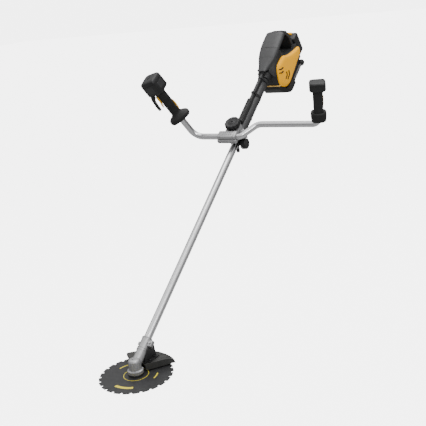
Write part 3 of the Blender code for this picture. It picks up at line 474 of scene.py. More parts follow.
class ShaderGroups:
    """Node groups that more than one finish uses."""

    bump_height = 0.0004
    line_stretch = (1.0, 0.015, 1.0)

    def __init__(self) -> None:
        """Build each group once."""
        self.grain = self._noise_group("surface_grain", detail=4.0, stretch=False)
        self.drawn = self._noise_group("drawn_lines", detail=2.0, stretch=True)
        self.patches = self._patch_group()

    @staticmethod
    def _group(name: str, inputs: dict[str, float], outputs: dict[str, str]) -> bpy.types.NodeTree:
        """Start a group that has a Vector input.

        Args:
            name: the group's name.
            inputs: its number inputs and their values.
            outputs: its outputs and their kinds.

        Returns:
            The group, still without nodes.
        """
        tree = bpy.data.node_groups.new(name, "ShaderNodeTree")
        add = tree.interface.new_socket
        add("Vector", in_out="INPUT", socket_type="NodeSocketVector")
        for label, value in inputs.items():
            add(label, in_out="INPUT", socket_type="NodeSocketFloat").default_value = value
        for label, kind in outputs.items():
            add(label, in_out="OUTPUT", socket_type=f"NodeSocket{kind}")
        return tree

    def _noise_group(self, name: str, detail: float, stretch: bool) -> bpy.types.NodeTree:
        """Build a group that gives a fine tone and a matching bumped normal.

        Args:
            name: the group's name.
            detail: the noise's detail.
            stretch: whether the noise is drawn out along Y.

        Returns:
            The group, with inputs Vector, Scale and Depth and outputs Tone and Normal.
        """
        tree = self._group(name, {"Scale": 400.0, "Depth": 0.2}, {"Tone": "Float", "Normal": "Vector"})
        wiring = Wiring(tree)
        start = wiring.node("NodeGroupInput").outputs
        vector = start["Vector"]
        if stretch:
            vector = wiring.vector("MULTIPLY", vector, self.line_stretch)
        noise = wiring.node("ShaderNodeTexNoise", Vector=vector, Scale=start["Scale"], Detail=detail)
        tone = noise.outputs["Fac"]
        bump = wiring.node("ShaderNodeBump", Height=tone, Strength=start["Depth"],
                           Distance=self.bump_height)
        wiring.node("NodeGroupOutput", Tone=tone, Normal=bump.outputs["Normal"])
        return tree

    def _patch_group(self) -> bpy.types.NodeTree:
        """Build a group that gives a mask of soft patches of dust or rubbing."""
        tree = self._group("soft_patches", {"Scale": 20.0, "Amount": 0.3}, {"Mask": "Float"})
        wiring = Wiring(tree)
        start = wiring.node("NodeGroupInput").outputs
        noise = wiring.node("ShaderNodeTexNoise", Vector=start["Vector"], Scale=start["Scale"],
                            Detail=6.0, Roughness=0.65)
        spread = wiring.node("ShaderNodeMapRange", Value=noise.outputs["Fac"], From_Min=0.42,
                             From_Max=0.75)
        mask = wiring.maths("MULTIPLY", spread.outputs["Result"], start["Amount"])
        wiring.node("NodeGroupOutput", Mask=mask)
        return tree


class Grain(Enum):
    """How a surface is textured."""

    MOULDED = "moulded"
    DRAWN = "drawn"


@dataclass(frozen=True)
class Finish:
    """What a surface is made of and how it has worn."""

    name: str
    colour: tuple[float, float, float]
    rubbed: tuple[float, float, float]
    roughness: float
    metallic: float = 0.0
    grain: Grain = Grain.MOULDED
    grain_scale: float = 900.0
    depth: float = 0.25
    patch_scale: float = 25.0
    patch_amount: float = 0.35
    specular: float = 0.36


class Palette:
    """Builds each finish's material once, from the shared groups."""

    roughness_spread = 0.1
    ring_radius, ring_half_width = 0.0425, 0.0009
    # Each arc's radius and half width in metres, and its middle and half sweep in radians
    arcs = ((0.089, 0.0055, -1.445, 0.38), (0.073, 0.0022, 0.23, 0.24), (0.082, 0.0022, 2.7, 0.25))
    mark_colour = (0.70, 0.58, 0.03, 1.0)

    def __init__(self, slope: float) -> None:
        """Start empty.

        Args:
            slope: the shaft's slope in radians, which drawn metal's lines follow.
        """
        self.groups = ShaderGroups()
        self.slope = slope
        self.made: dict[str, bpy.types.Material] = {}

    def material(self, finish: Finish) -> bpy.types.Material:
        """Return a finish's material, building it if it is new.

        Args:
            finish: the finish wanted.

        Returns:
            A Principled material with grain, soft rubbed patches and varied roughness.
        """
        if finish.name in self.made:
            return self.made[finish.name]
        material = bpy.data.materials.new(finish.name)
        material.use_nodes = True
        wiring = Wiring(material.node_tree)
        place = wiring.node("ShaderNodeTexCoord").outputs["Object"]
        mapping = wiring.node("ShaderNodeMapping", Vector=place, Rotation=(-self.slope, 0.0, 0.0))
        vector = mapping.outputs["Vector"]
        tree = self.groups.drawn if finish.grain is Grain.DRAWN else self.groups.grain
        grain = wiring.node("ShaderNodeGroup", node_tree=tree, Vector=vector,
                            Scale=finish.grain_scale, Depth=finish.depth).outputs
        patches = wiring.node("ShaderNodeGroup", node_tree=self.groups.patches, Vector=vector,
                              Scale=finish.patch_scale, Amount=finish.patch_amount)
        tint = wiring.node("ShaderNodeMix", data_type="RGBA", Factor=patches.outputs["Mask"],
                           A=(*finish.colour, 1.0), B=(*finish.rubbed, 1.0))
        rough = wiring.node("ShaderNodeMapRange", Value=grain["Tone"],
                            To_Min=max(finish.roughness - self.roughness_spread, 0.05),
                            To_Max=min(finish.roughness + self.roughness_spread, 1.0))
        wiring.fill(wiring.nodes["Principled BSDF"], Base_Color=tint.outputs["Result"],
                    Roughness=rough.outputs["Result"], Normal=grain["Normal"],
                    Metallic=finish.metallic, Specular_IOR_Level=finish.specular)
        self.made[finish.name] = material
        return material

    def paint_blade(self, finish: Finish, centre: Vector) -> None:
        """Add the blade's plain yellow ring and arcs to its paint.

        Args:
            finish: the paint's own finish.
            centre: the blade's centre, in metres.
        """
        wiring = Wiring(self.material(finish).node_tree)
        shader = wiring.nodes["Principled BSDF"]
        offset = wiring.vector("SUBTRACT", wiring.node("ShaderNodeTexCoord").outputs["Object"], centre)
        flat = wiring.vector("MULTIPLY", offset, (1.0, 1.0, 0.0))
        far = wiring.node("ShaderNodeVectorMath", operation="LENGTH", Vector=flat).outputs["Value"]
        split = wiring.node("ShaderNodeSeparateXYZ", Vector=offset).outputs
        around = wiring.maths("ARCTAN2", split["Y"], split["X"])
        marks = wiring.maths("COMPARE", far, self.ring_radius, self.ring_half_width)
        for radius, half, middle, sweep in self.arcs:
            arc = wiring.maths("COMPARE", far, radius, half)
            sector = wiring.maths("COMPARE", around, middle, sweep)
            marks = wiring.maths("MAXIMUM", marks, wiring.maths("MULTIPLY", arc, sector))
        plain = shader.inputs["Base Color"].links[0].from_socket
        painted = wiring.node("ShaderNodeMix", data_type="RGBA", Factor=marks, A=plain,
                              B=self.mark_colour)
        wiring.fill(shader, Base_Color=painted.outputs["Result"])


BLADE_PAINT = Finish("charcoal_blade_paint", (0.022, 0.022, 0.023), (0.045, 0.045, 0.046), 0.45, 0.2,
                     grain_scale=500.0, depth=0.12, patch_scale=60.0, patch_amount=0.4)
STEEL = Finish("turned_steel", (0.46, 0.46, 0.47), (0.30, 0.295, 0.29), 0.3, 1.0, depth=0.1)
DARK_STEEL = Finish("blackened_steel", (0.05, 0.05, 0.052), (0.09, 0.09, 0.09), 0.4, 0.8, depth=0.1)
CAST_METAL = Finish("cast_aluminium", (0.34, 0.34, 0.345), (0.25, 0.25, 0.25), 0.44, 0.75,
                    grain_scale=1400.0, depth=0.3, patch_amount=0.3)
DRAWN_METAL = Finish("drawn_aluminium", (0.60, 0.60, 0.61), (0.46, 0.46, 0.47), 0.27, 1.0,
                     grain=Grain.DRAWN, grain_scale=1200.0, depth=0.1, patch_amount=0.3)
BAR_METAL = Finish("drawn_bar_aluminium", (0.60, 0.60, 0.61), (0.46, 0.46, 0.47), 0.28, 1.0,
                   grain_scale=1500.0, depth=0.06, patch_amount=0.3)
BLACK_PLASTIC = Finish("black_moulding", (0.008, 0.008, 0.0085), (0.016, 0.016, 0.0165), 0.48,
                       grain_scale=2200.0, depth=0.25)
DARK_PLASTIC = Finish("dark_grey_moulding", (0.018, 0.018, 0.019), (0.034, 0.034, 0.035), 0.46,
                      grain_scale=2200.0, depth=0.25)
HOOD_PLASTIC = Finish("hood_moulding", (0.030, 0.030, 0.031), (0.046, 0.046, 0.047), 0.42,
                      grain_scale=2200.0, depth=0.2)
GREY_PLASTIC = Finish("mid_grey_moulding", (0.075, 0.075, 0.077), (0.11, 0.11, 0.11), 0.45,
                      grain_scale=2200.0, depth=0.25)
GUARD_PLASTIC = Finish("guard_moulding", (0.026, 0.026, 0.025), (0.052, 0.050, 0.047), 0.5,
                       grain_scale=1500.0, depth=0.3, patch_amount=0.5)
RUBBER = Finish("soft_rubber", (0.006, 0.006, 0.006), (0.015, 0.015, 0.0145), 0.62,
                grain_scale=3000.0, depth=0.4, patch_amount=0.4)
BOOT_RUBBER = Finish("boot_rubber", (0.028, 0.028, 0.028), (0.045, 0.045, 0.044), 0.5,
                     grain_scale=3000.0, depth=0.3)
YELLOW = Finish("golden_moulding", (1.0, 0.46, 0.0), (0.95, 0.40, 0.0), 0.4,
                grain_scale=1800.0, depth=0.08, patch_amount=0.25, specular=0.12)
PALE_YELLOW = Finish("pale_yellow_moulding", (0.80, 0.50, 0.13), (0.66, 0.40, 0.10), 0.42,
                     grain_scale=1800.0, depth=0.12)
TRIGGER_YELLOW = Finish("trigger_moulding", (0.80, 0.42, 0.02), (0.68, 0.34, 0.015), 0.38,
                        grain_scale=1800.0, depth=0.12)
SLOT_BLACK = Finish("slot_shadow", (0.004, 0.004, 0.004), (0.008, 0.008, 0.008), 0.8, depth=0.2)
COPPER = Finish("winding_copper", (0.6, 0.27, 0.13), (0.45, 0.18, 0.08), 0.35, 1.0,
                grain_scale=600.0, depth=0.4)
BOARD = Finish("circuit_board", (0.02, 0.13, 0.05), (0.015, 0.09, 0.03), 0.45, grain_scale=300.0)

CARRIED = {
    "crown_gear": STEEL, "pinion_gear": STEEL, "lower_spindle_bearing": STEEL,
    "upper_spindle_bearing": STEEL, "spindle_seal": RUBBER, "pinion_bearing": STEEL,
    "drive_shaft": STEEL, "lower_shaft_bush": BLACK_PLASTIC, "upper_shaft_bush": BLACK_PLASTIC,
    "motor_stator": COPPER, "motor_rotor": STEEL, "cooling_fan": BLACK_PLASTIC,
    "control_board": BOARD, "trigger_switch": BLACK_PLASTIC, "clamp_bolt": DARK_STEEL,
    "output_spindle": STEEL,
}


# ------------------------------------------------------------------ geometry nodes


class Repeater:
    """Geometry Nodes trees that repeat a small part round a circle or along a line."""

    def __init__(self) -> None:
        """Build both trees."""
        self.around = self._tree("repeat_around", "GeometryNodeMeshCircle", "Radius", "Float")
        self.along = self._tree("repeat_along", "GeometryNodeMeshLine", "Offset", "Vector")

    @staticmethod
    def _tree(name: str, points_kind: str, spacing: str, spacing_kind: str) -> bpy.types.NodeTree:
        """Build a tree that puts a part on the points of a circle or a line.

        Args:
            name: the tree's name.
            points_kind: the node that makes the points.
            spacing: that node's input that sets how far apart they are.
            spacing_kind: the spacing socket's kind.

        Returns:
            A tree with inputs Part, Count, Finish and the spacing.
        """
        tree = bpy.data.node_groups.new(name, "GeometryNodeTree")
        for label, kind in (("Geometry", "Geometry"), ("Part", "Object"), ("Count", "Int"),
                            (spacing, spacing_kind), ("Finish", "Material")):
            tree.interface.new_socket(label, in_out="INPUT", socket_type=f"NodeSocket{kind}")
        tree.interface.new_socket("Geometry", in_out="OUTPUT", socket_type="NodeSocketGeometry")
        wiring = Wiring(tree)
        start = wiring.node("NodeGroupInput").outputs
        round_circle = points_kind == "GeometryNodeMeshCircle"
        number = "Vertices" if round_circle else "Count"
        points = wiring.node(points_kind, **{number: start["Count"], spacing: start[spacing]})
        part = wiring.node("GeometryNodeObjectInfo", Object=start["Part"])
        put = wiring.node("GeometryNodeInstanceOnPoints", Points=points.outputs["Mesh"],
                          Instance=part.outputs["Geometry"])
        if round_circle:
            wiring.fill(put, Rotation=Repeater._turn(wiring, start["Count"]))
        real = wiring.node("GeometryNodeRealizeInstances", Geometry=put.outputs["Instances"])
        paint = wiring.node("GeometryNodeSetMaterial", Geometry=real.outputs["Geometry"],
                            Material=start["Finish"])
        wiring.node("NodeGroupOutput", Geometry=paint.outputs["Geometry"])
        return tree

    @staticmethod
    def _turn(wiring: Wiring, count: bpy.types.NodeSocket) -> bpy.types.NodeSocket:
        """Return the turn that points each part's X outwards at its place on the circle."""
        share = wiring.maths("DIVIDE", wiring.node("GeometryNodeInputIndex").outputs["Index"], count)
        angle = wiring.maths("MULTIPLY", share, 2.0 * math.pi)
        euler = wiring.node("ShaderNodeCombineXYZ", Z=angle).outputs["Vector"]
        return wiring.node("FunctionNodeEulerToRotation", Euler=euler).outputs["Rotation"]

    @staticmethod
    def run(tree: bpy.types.NodeTree, part: Form, count: int, spacing: float | Vector,
            material: bpy.types.Material) -> bpy.types.Mesh:
        """Repeat a part and return the result as one plain mesh.

        Args:
            tree: one of this class's trees.
            part: the shape to repeat.
            count: how many times.
            spacing: the circle's radius or the line's step, in millimetres.
            material: what the result is made of.

        Returns:
            The mesh, in millimetres.
        """
        one = bpy.data.objects.new("part", part.mesh("part"))
        host = bpy.data.objects.new("host", bpy.data.meshes.new("host"))
        for obj in (one, host):
            bpy.context.scene.collection.objects.link(obj)
        modifier = host.modifiers.new("Repeat", "NODES")
        modifier.node_group = tree
        spacing_name = "Radius" if tree.name.endswith("around") else "Offset"
        values = {"Part": one, "Count": count, spacing_name: spacing, "Finish": material}
        for item in tree.interface.items_tree:
            if item.in_out == "INPUT" and item.name in values:
                modifier[item.identifier] = values[item.name]
        bpy.context.view_layer.update()
        depsgraph = bpy.context.evaluated_depsgraph_get()
        mesh = bpy.data.meshes.new_from_object(host.evaluated_get(depsgraph))
        for obj in (host, one):
            bpy.data.objects.remove(obj, do_unlink=True)
        return mesh


# ------------------------------------------------------------------ workshop


@dataclass
class Workshop:
    """Turns forms into finished pieces that ride on the frame's bodies."""

    frame: dict
    places: Places
    palette: Palette
    repeater: Repeater = field(default_factory=Repeater)

    def piece(self, name: str, form: Form, at: Placement, body: Body, finish: Finish,
              stands_for: Sequence[str] = (), bevel: float = 0.0, sharp: float = 35.0) -> None:
        """Finish a form as a piece.

        Args:
            name: the piece's name.
            form: its shape.
            at: where it was drawn.
            body: the body it rides on.
            finish: what it is made of.
            stands_for: the frame's nodes that it is shown in place of.
            bevel: how far its edges are rounded, in millimetres.
            sharp: the angle, in degrees, past which an edge stays sharp.
        """
        mesh = form.mesh(name)
        mesh.materials.append(self.palette.material(finish))
        self.mount(name, mesh, at, body, stands_for, bevel, sharp)

    def mount(self, name: str, mesh: bpy.types.Mesh, at: Placement, body: Body,
              stands_for: Sequence[str] = (), bevel: float = 0.0, sharp: float = 35.0) -> None:
        """Place a mesh, finish its edges and hang it on its body.

        Args:
            name: the piece's name.
            mesh: its mesh, as it was drawn.
            at: where it was drawn.
            body: the body it rides on.
            stands_for: the frame's nodes that it is shown in place of.
            bevel: how far its edges are rounded, in millimetres.
            sharp: the angle, in degrees, past which an edge stays sharp.
        """
        mesh.transform(at.matrix())
        mesh.shade_smooth()
        mesh.set_sharp_from_angle(angle=math.radians(sharp))
        obj = bpy.data.objects.new(name, mesh)
        bpy.context.scene.collection.objects.link(obj)
        if bevel:
            edge = obj.modifiers.new("Bevel", "BEVEL")
            edge.width = bevel * MM
            edge.segments = 2
            edge.limit_method = "ANGLE"
            edge.angle_limit = math.radians(30.0)
            edge.harden_normals = True
        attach(obj, body.value)
        if stands_for:
            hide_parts(*stands_for)
        LOG.info("made %s on %s", name, body.value)

    def repeated(self, name: str, part: Form, count: int, spacing: float | Vector, at: Placement,
                 body: Body, finish: Finish) -> None:
        """Repeat a part as one piece.

        Args:
            name: the piece's name.
            part: the shape to repeat.
            count: how many times.
            spacing: a circle's radius, or a line's step as a vector, in millimetres.
            at: where it was drawn.
            body: the body it rides on.
            finish: what it is made of.
        """
        tree = self.repeater.along if isinstance(spacing, Vector) else self.repeater.around
        mesh = Repeater.run(tree, part, count, spacing, self.palette.material(finish))
        self.mount(name, mesh, at, body)

    def restyled(self, node: str, body: Body, finish: Finish, bevel: float = 0.0,
                 sharp: float = 32.0) -> None:
        """Show a merged copy of a node, with rounded edges and a finish of its own.

        Args:
            node: the frame's node.
            body: the body it rides on.
            finish: what it is made of.
            bevel: how far its edges are rounded, in millimetres.
            sharp: the angle, in degrees, past which an edge stays sharp.
        """
        bm = bmesh.new()
        bm.from_mesh(self.frame["nodes"][node].data)
        bmesh.ops.remove_doubles(bm, verts=bm.verts, dist=0.00001)
        bmesh.ops.dissolve_limit(bm, angle_limit=math.radians(1.0), verts=bm.verts, edges=bm.edges)
        mesh = bpy.data.meshes.new(node)
        bm.to_mesh(mesh)
        bm.free()
        mesh.materials.clear()
        mesh.materials.append(self.palette.material(finish))
        self.mount(f"{node}_shape", mesh, METRES, body, (node,), bevel, sharp)

    def dress_hidden_nodes(self) -> None:
        """Give each node that is still shown as it is a finish of its own."""
        for node, finish in CARRIED.items():
            obj = self.frame["nodes"][node]
            obj.data.materials.clear()
            obj.data.materials.append(self.palette.material(finish))


def hex_head(radius: float, low: float, high: float) -> Form:
    """Return a hexagonal bolt head with a washer face under it.

    Args:
        radius: the hexagon's radius, to its corners.
        low: the height of its underside.
        high: the height of its top.

    Returns:
        The head's form.
    """
    form = Form()
    form.lathe([(0.0, low), (radius * 1.15, low), (radius * 1.15, low + 0.6), (0.0, low + 0.6)], 24)
    corners = [(radius * math.cos(math.pi * i / 3.0), radius * math.sin(math.pi * i / 3.0))
               for i in range(6)]
    return form.prism(corners, low + 0.6, high)


def socket_screw(radius: float, low: float, high: float) -> Form:
    """Return a round screw head with a hexagonal recess in its top.

    Args:
        radius: the head's radius.
        low: the height of its underside.
        high: the height of its top.

    Returns:
        The head's form.
    """
    form = Form()
    depth = (high - low) * 0.55
    recess = radius * 0.52
    rings = [circle(radius, low, 24), circle(radius, high - 0.4, 24), circle(radius - 0.4, high, 24)]
    hexagon = []
    for i in range(24):
        angle = 2.0 * math.pi * i / 24
        off = (angle % (math.pi / 3.0)) - math.pi / 6.0
        reach = recess * math.cos(math.pi / 6.0) / math.cos(off)
        hexagon.append((reach * math.cos(angle), reach * math.sin(angle)))
    rings.append([Vector((x, y, high)) for x, y in hexagon])
    rings.append([Vector((x, y, high - depth)) for x, y in hexagon])
    return form.loft(rings)


def fluted(profile: Sequence[Point], radius: float, lobes: int) -> Form:
    """Return a fluted knob.

    Args:
        profile: from below, each ring's share of the radius, its height and its flutes' depth.
        radius: the knob's radius.
        lobes: how many lobes it has, of eight points each.

    Returns:
        The knob's form.
    """
    count = lobes * 8
    rings = []
    for scale, height, flute in profile:
        ring = []
        for i in range(count):
            angle = 2.0 * math.pi * i / count
            dip = max(0.0, math.cos(lobes * angle)) ** 1.5
            reach = radius * scale * (1.0 - flute * dip)
            ring.append((reach * math.cos(angle), reach * math.sin(angle), height))
        rings.append(ring)
    return Form().loft(rings)


# ------------------------------------------------------------------ cutting end


@dataclass
class CuttingEnd:
    """Blade, its fastenings, the gear case and the guard."""

    shop: Workshop
    radius: float = 127.5
    bore: float = 12.7
    teeth: int = 24
    gullet: float = 8.5
    thickness: float = 2.0
    case_radius: float = 21.0
    flange_radius: float = 27.5
    collar_radius: float = 18.0
    guard_start: float = 50.0
    guard_sweep: float = 89.0
    guard_ribs: int = 6
    case_ribs: int = 12

    def build(self) -> None:
        """Build every piece of the cutting end."""
        self.blade()
        self.fastenings()
        self.gear_case()
        self.guard()

    def tooth_profile(self) -> list[tuple[float, float]]:
        """Return one tooth and its gullet as (share of the pitch, drop from the outer radius)."""
        deepest = self.gullet
        profile = [(0.0, 0.0), (0.24, 0.5), (0.48, 1.0), (0.71, 1.5), (0.722, 0.75 * deepest)]
        for step in range(3):
            angle = math.pi * (step + 0.5) / 3.0
            profile.append((0.83 - 0.1 * math.cos(angle), deepest * (0.86 + 0.14 * math.sin(angle))))
        profile.append((0.955, 0.6 * deepest))
        return profile

    def blade(self) -> None:
        """Build the toothed disc with its round bore."""
        profile = self.tooth_profile()
        pitch = 2.0 * math.pi / self.teeth
        spots = [(pitch * (tooth + share), self.radius - drop)
                 for tooth in range(self.teeth) for share, drop in profile]
        half = self.thickness / 2.0
        rings = []
        for radii, height in ((None, half), (None, -half), (self.bore, -half), (self.bore, half)):
            rings.append([(math.cos(a) * (radii or r), math.sin(a) * (radii or r), height)
                          for a, r in spots])
        at = self.shop.places.blade
        self.shop.palette.paint_blade(BLADE_PAINT, at.origin)
        self.shop.piece("toothed_blade", Form().loft(rings, closed=True), at, Body.BLADE,
                        BLADE_PAINT, ("blade",), bevel=0.3, sharp=20.0)

    def fastenings(self) -> None:
        """Build the washers, the cup and the nut that hold the blade."""
        shop, at = self.shop, self.shop.places.blade
        washer = Form().lathe([(13.0, 7.5), (23.8, 7.5), (25.0, 6.6), (26.0, 2.4), (25.6, 1.3), (12.4, 1.3),
                               (12.4, -0.7), (6.4, -0.7), (6.4, 7.4)], 64)
        shop.piece("upper_blade_washer", washer, at, Body.BLADE, BLACK_PLASTIC, ("receiver_washer",), 0.3)
        for node in ("clamping_washer", "blade_nut"):
            shop.restyled(node, Body.BLADE, STEEL, 0.3)
        cup = Form().lathe([(6.4, -4.8), (14.0, -4.8), (22.0, -5.2), (28.0, -6.6), (32.4, -9.4),
                            (34.0, -12.6), (33.2, -16.0), (30.0, -18.0), (24.2, -18.4), (24.2, -17.0),
                            (29.0, -16.4), (31.6, -14.4), (31.8, -12.2), (29.0, -9.4), (22.0, -7.4),
                            (14.0, -6.6), (6.4, -6.6)], 64)
        shop.piece("spun_blade_cup", cup, at, Body.BLADE, STEEL, ("blade_cup",))

    def gear_case(self) -> None:
        """Build the cast case's skin, its ribs, plug and screws."""
        shop, at, shaft = self.shop, self.shop.places.blade, self.shop.places.shaft
        shop.restyled("gear_case", Body.MACHINE, CAST_METAL, 0.8)
        shop.restyled("gear_case_cover", Body.MACHINE, CAST_METAL, 0.4)
        shop.restyled("case_clamp_bolt", Body.MACHINE, STEEL, 0.3)
        rib = Form().block((self.case_radius - 1.5, -0.8, 22.5), (self.case_radius + 0.9, 0.8, 48.0))
        shop.repeated("case_cooling_ribs", rib, self.case_ribs, 0.001, at, Body.MACHINE, CAST_METAL)
        shop.repeated("case_flange_screws", socket_screw(1.9, 20.0, 22.2), 4,
                      self.flange_radius - 3.2, at.spun(45.0), Body.MACHINE, STEEL)
        shop.piece("grease_plug", hex_head(5.0, 0.0, 4.4), at.moved(0.0, -4.0, 58.6), Body.MACHINE, STEEL,
                   bevel=0.3)
        collar = shaft.along_y()
        beads = Form()
        inner, outer = self.collar_radius - 1.0, self.collar_radius + 1.2
        for station in (58.0, 66.0, 105.0):
            beads.lathe([(inner, station - 2.0), (outer, station - 1.2), (outer, station + 1.2),
                         (inner, station + 2.0)])
        shop.piece("collar_beads", beads, collar, Body.MACHINE, CAST_METAL, bevel=0.4)
        slit = Form().block((17.0, 76.2, -0.8), (31.2, 101.2, 0.8))
        shop.piece("collar_slit", slit, shaft, Body.MACHINE, SLOT_BLACK)
        shop.piece("collar_screw_top", socket_screw(4.6, 9.2, 13.8), shaft.moved(24.0, 88.0, 0.2),
                   Body.MACHINE, STEEL)

    def guard(self) -> None:
        """Build the guard's skin, its ribs and its bracket."""
        shop, at = self.shop, self.shop.places.blade
        shop.restyled("guard", Body.MACHINE, GUARD_PLASTIC, 0.5, sharp=25.0)
        shop.restyled("guard_bracket", Body.MACHINE, BLACK_PLASTIC, 0.7)
        shop.restyled("guard_bolt", Body.MACHINE, DARK_STEEL, 0.3)
        ribs = Form()
        for i in range(self.guard_ribs):
            angle = math.radians(self.guard_start + self.guard_sweep * (i + 0.5) / self.guard_ribs)
            across = Vector((-math.sin(angle), math.cos(angle), 0.0)) * 0.9
            out = Vector((math.cos(angle), math.sin(angle), 0.0))
            rings = []
            for radius, low, high in ((98.0, 27.0, 28.6), (112.0, 25.8, 27.9), (126.0, 22.9, 25.6),
                                      (134.5, 17.6, 20.9)):
                mid, floor, roof = out * radius, Vector((0, 0, low)), Vector((0, 0, high))
                rings.append([mid - across + floor, mid + across + floor, mid + across + roof,
                              mid - across + roof])
            ribs.loft(rings)
        shop.piece("guard_ribs", ribs, at, Body.MACHINE, GUARD_PLASTIC, bevel=0.3)
        saddle = Form()
        for side in (-18.5, 18.5):
            saddle.block((side - 4.5, 74.0, -18.0), (side + 4.5, 97.0, -8.6))
        shop.piece("bracket_saddle", saddle, shop.places.shaft, Body.MACHINE, BLACK_PLASTIC, bevel=0.6)
        for name, side in (("bracket_screws_right", -27.8), ("bracket_screws_left", 27.8)):
            shop.repeated(name, socket_screw(3.8, 32.0, 35.6), 2, Vector((0.0, -28.0, 0.0)),
                          at.moved(side, 80.0, 0.4), Body.MACHINE, DARK_STEEL)


# ------------------------------------------------------------------ shaft


@dataclass
class ShaftRun:
    """The tube, its dark upper sleeve and the cable's conduit on it."""

    shop: Workshop
    tube_radius: float = 14.0
    tube_start: float = 52.0
    tube_end: float = 1400.0
    sleeve_start: float = 1080.0
    sleeve_end: float = 1371.5
    sleeve_radius: float = 20.0
    boot_start: float = 1098.0
    boot_end: float = 1223.0
    boot_radius: float = 12.0
    conduit_height: float = 29.0

    def build(self) -> None:
        """Build every piece along the shaft."""
        self.tube()
        self.sleeve()
        self.conduit()
        self.boot()

    def tube(self) -> None:
        """Build the drawn aluminium tube."""
        r = self.tube_radius
        tube = Form().lathe([(r, self.tube_end), (r, self.tube_start), (12.4, self.tube_start),
                             (12.4, self.tube_end)], 64)
        self.shop.piece("drawn_shaft_tube", tube, self.shop.places.shaft.along_y(), Body.MACHINE,
                        DRAWN_METAL, ("shaft_tube",))

    def sleeve(self) -> None:
        """Build the moulded sleeve with its end lip, its grooves and its small lugs."""
        shop, at = self.shop, self.shop.places.shaft
        r = self.sleeve_radius
        profile = [(14.4, self.sleeve_end), (r, self.sleeve_end)]
        for groove in (1340.0, 1333.0, 1326.0):
            profile += [(r, groove + 2.0), (r - 0.9, groove + 1.0), (r - 0.9, groove - 1.0),
                        (r, groove - 2.0)]
        profile += [(r, 1098.0), (r - 0.2, 1094.0), (r, 1090.0), (r, 1083.0), (r - 1.8, self.sleeve_start),
                    (14.4, self.sleeve_start)]
        shop.piece("moulded_sleeve", Form().lathe(profile, 56), at.along_y(), Body.MACHINE, HOOD_PLASTIC,
                   ("upper_sleeve",))
        lug = Form().lathe([(0.0, 4.6), (3.4, 4.2), (4.4, 2.6), (4.8, -2.0), (0.0, -2.0)], 20)
        shop.repeated("sleeve_lugs", lug, 2, Vector((97.0, 0.0, 0.0)),
                      at.moved(r - 0.6, 1143.0, -2.0).side_view(), Body.MACHINE, BLACK_PLASTIC)
        seam = Form().block((-0.35, self.sleeve_start + 6.0, -r - 0.25), (0.35, self.sleeve_end, -r + 1.0))
        shop.piece("sleeve_seam", seam, at, Body.MACHINE, SLOT_BLACK)

    def conduit(self) -> None:
        """Build the conduit, its clips and the bare cable."""
        shop, at = self.shop, self.shop.places.shaft
        conduit = Form().lathe([(0.0, self.sleeve_end), (8.0, self.sleeve_end), (8.0, self.boot_end + 9.0),
                                (9.0, self.boot_end + 7.0), (9.0, self.boot_end + 0.5),
                                (0.0, self.boot_end + 0.5)], 32)
        shop.piece("cable_conduit", conduit, at.moved(0.0, 0.0, self.conduit_height).along_y(),
                   Body.MACHINE, BLACK_PLASTIC, ("conduit",))
        shop.restyled("conduit_clip", Body.MACHINE, BLACK_PLASTIC, 0.6)
        clip = Form()
        clip.loft([self.clip_ring(offset, depth) for offset, depth in ((0.4, -5.0), (1.4, -5.0),
                                                                       (1.4, 5.0), (0.4, 5.0))],
                  closed=True)
        clip.prism([(-9.4, 32.0), (9.4, 32.0), (8.0, 38.6), (-8.0, 38.6)], -5.0, 5.0)
        lower = at.moved(0.0, 1264.0, 0.0).front_view()
        shop.piece("lower_clip", clip, lower, Body.MACHINE, BLACK_PLASTIC, bevel=0.6)
        shop.restyled("trigger_cable", Body.MACHINE, RUBBER)

    def clip_ring(self, offset: float, depth: float) -> list[Vector]:
        """Return a loop round the sleeve and the conduit, a distance outside them.

        Args:
            offset: how far outside them it runs.
            depth: where along the shaft it lies.

        Returns:
            The loop's points.
        """
        low, high = self.sleeve_radius + offset, 8.0 + offset
        lean = math.asin((low - high) / self.conduit_height)
        points = []
        for i in range(25):
            angle = lean + (-math.pi - 2.0 * lean) * i / 24.0
            points.append(Vector((low * math.cos(angle), low * math.sin(angle), depth)))
        for i in range(13):
            angle = math.pi - lean - (math.pi - 2.0 * lean) * i / 12.0
            points.append(Vector((high * math.cos(angle), self.conduit_height + high * math.sin(angle),
                                  depth)))
        return points

    def boot(self) -> None:
        """Build the corrugated boot: a core and rounded ribs repeated along it."""
        shop = self.shop
        height = self.sleeve_radius + 0.3 + self.boot_radius
        at = shop.places.shaft.moved(0.0, self.boot_start, height).along_y()
        length = self.boot_end - self.boot_start
        core = Form().lathe([(0.0, 0.0), (8.6, 0.0), (8.6, length), (0.0, length)], 32)
        shop.piece("boot_core", core, at, Body.MACHINE, BOOT_RUBBER, ("corrugated_boot",))
        count = 18
        pitch = length / count
        r = self.boot_radius
        rib = Form().lathe([(8.0, 0.4), (r - 1.4, 0.6), (r - 0.2, 0.3 * pitch), (r, 0.45 * pitch),
                            (r - 0.2, 0.6 * pitch), (r - 1.4, 0.85 * pitch), (8.0, 0.92 * pitch)], 32)
        shop.repeated("boot_ribs", rib, count, Vector((0.0, 0.0, pitch)), at, Body.MACHINE, BOOT_RUBBER)


# ------------------------------------------------------------------ handlebar and clamp


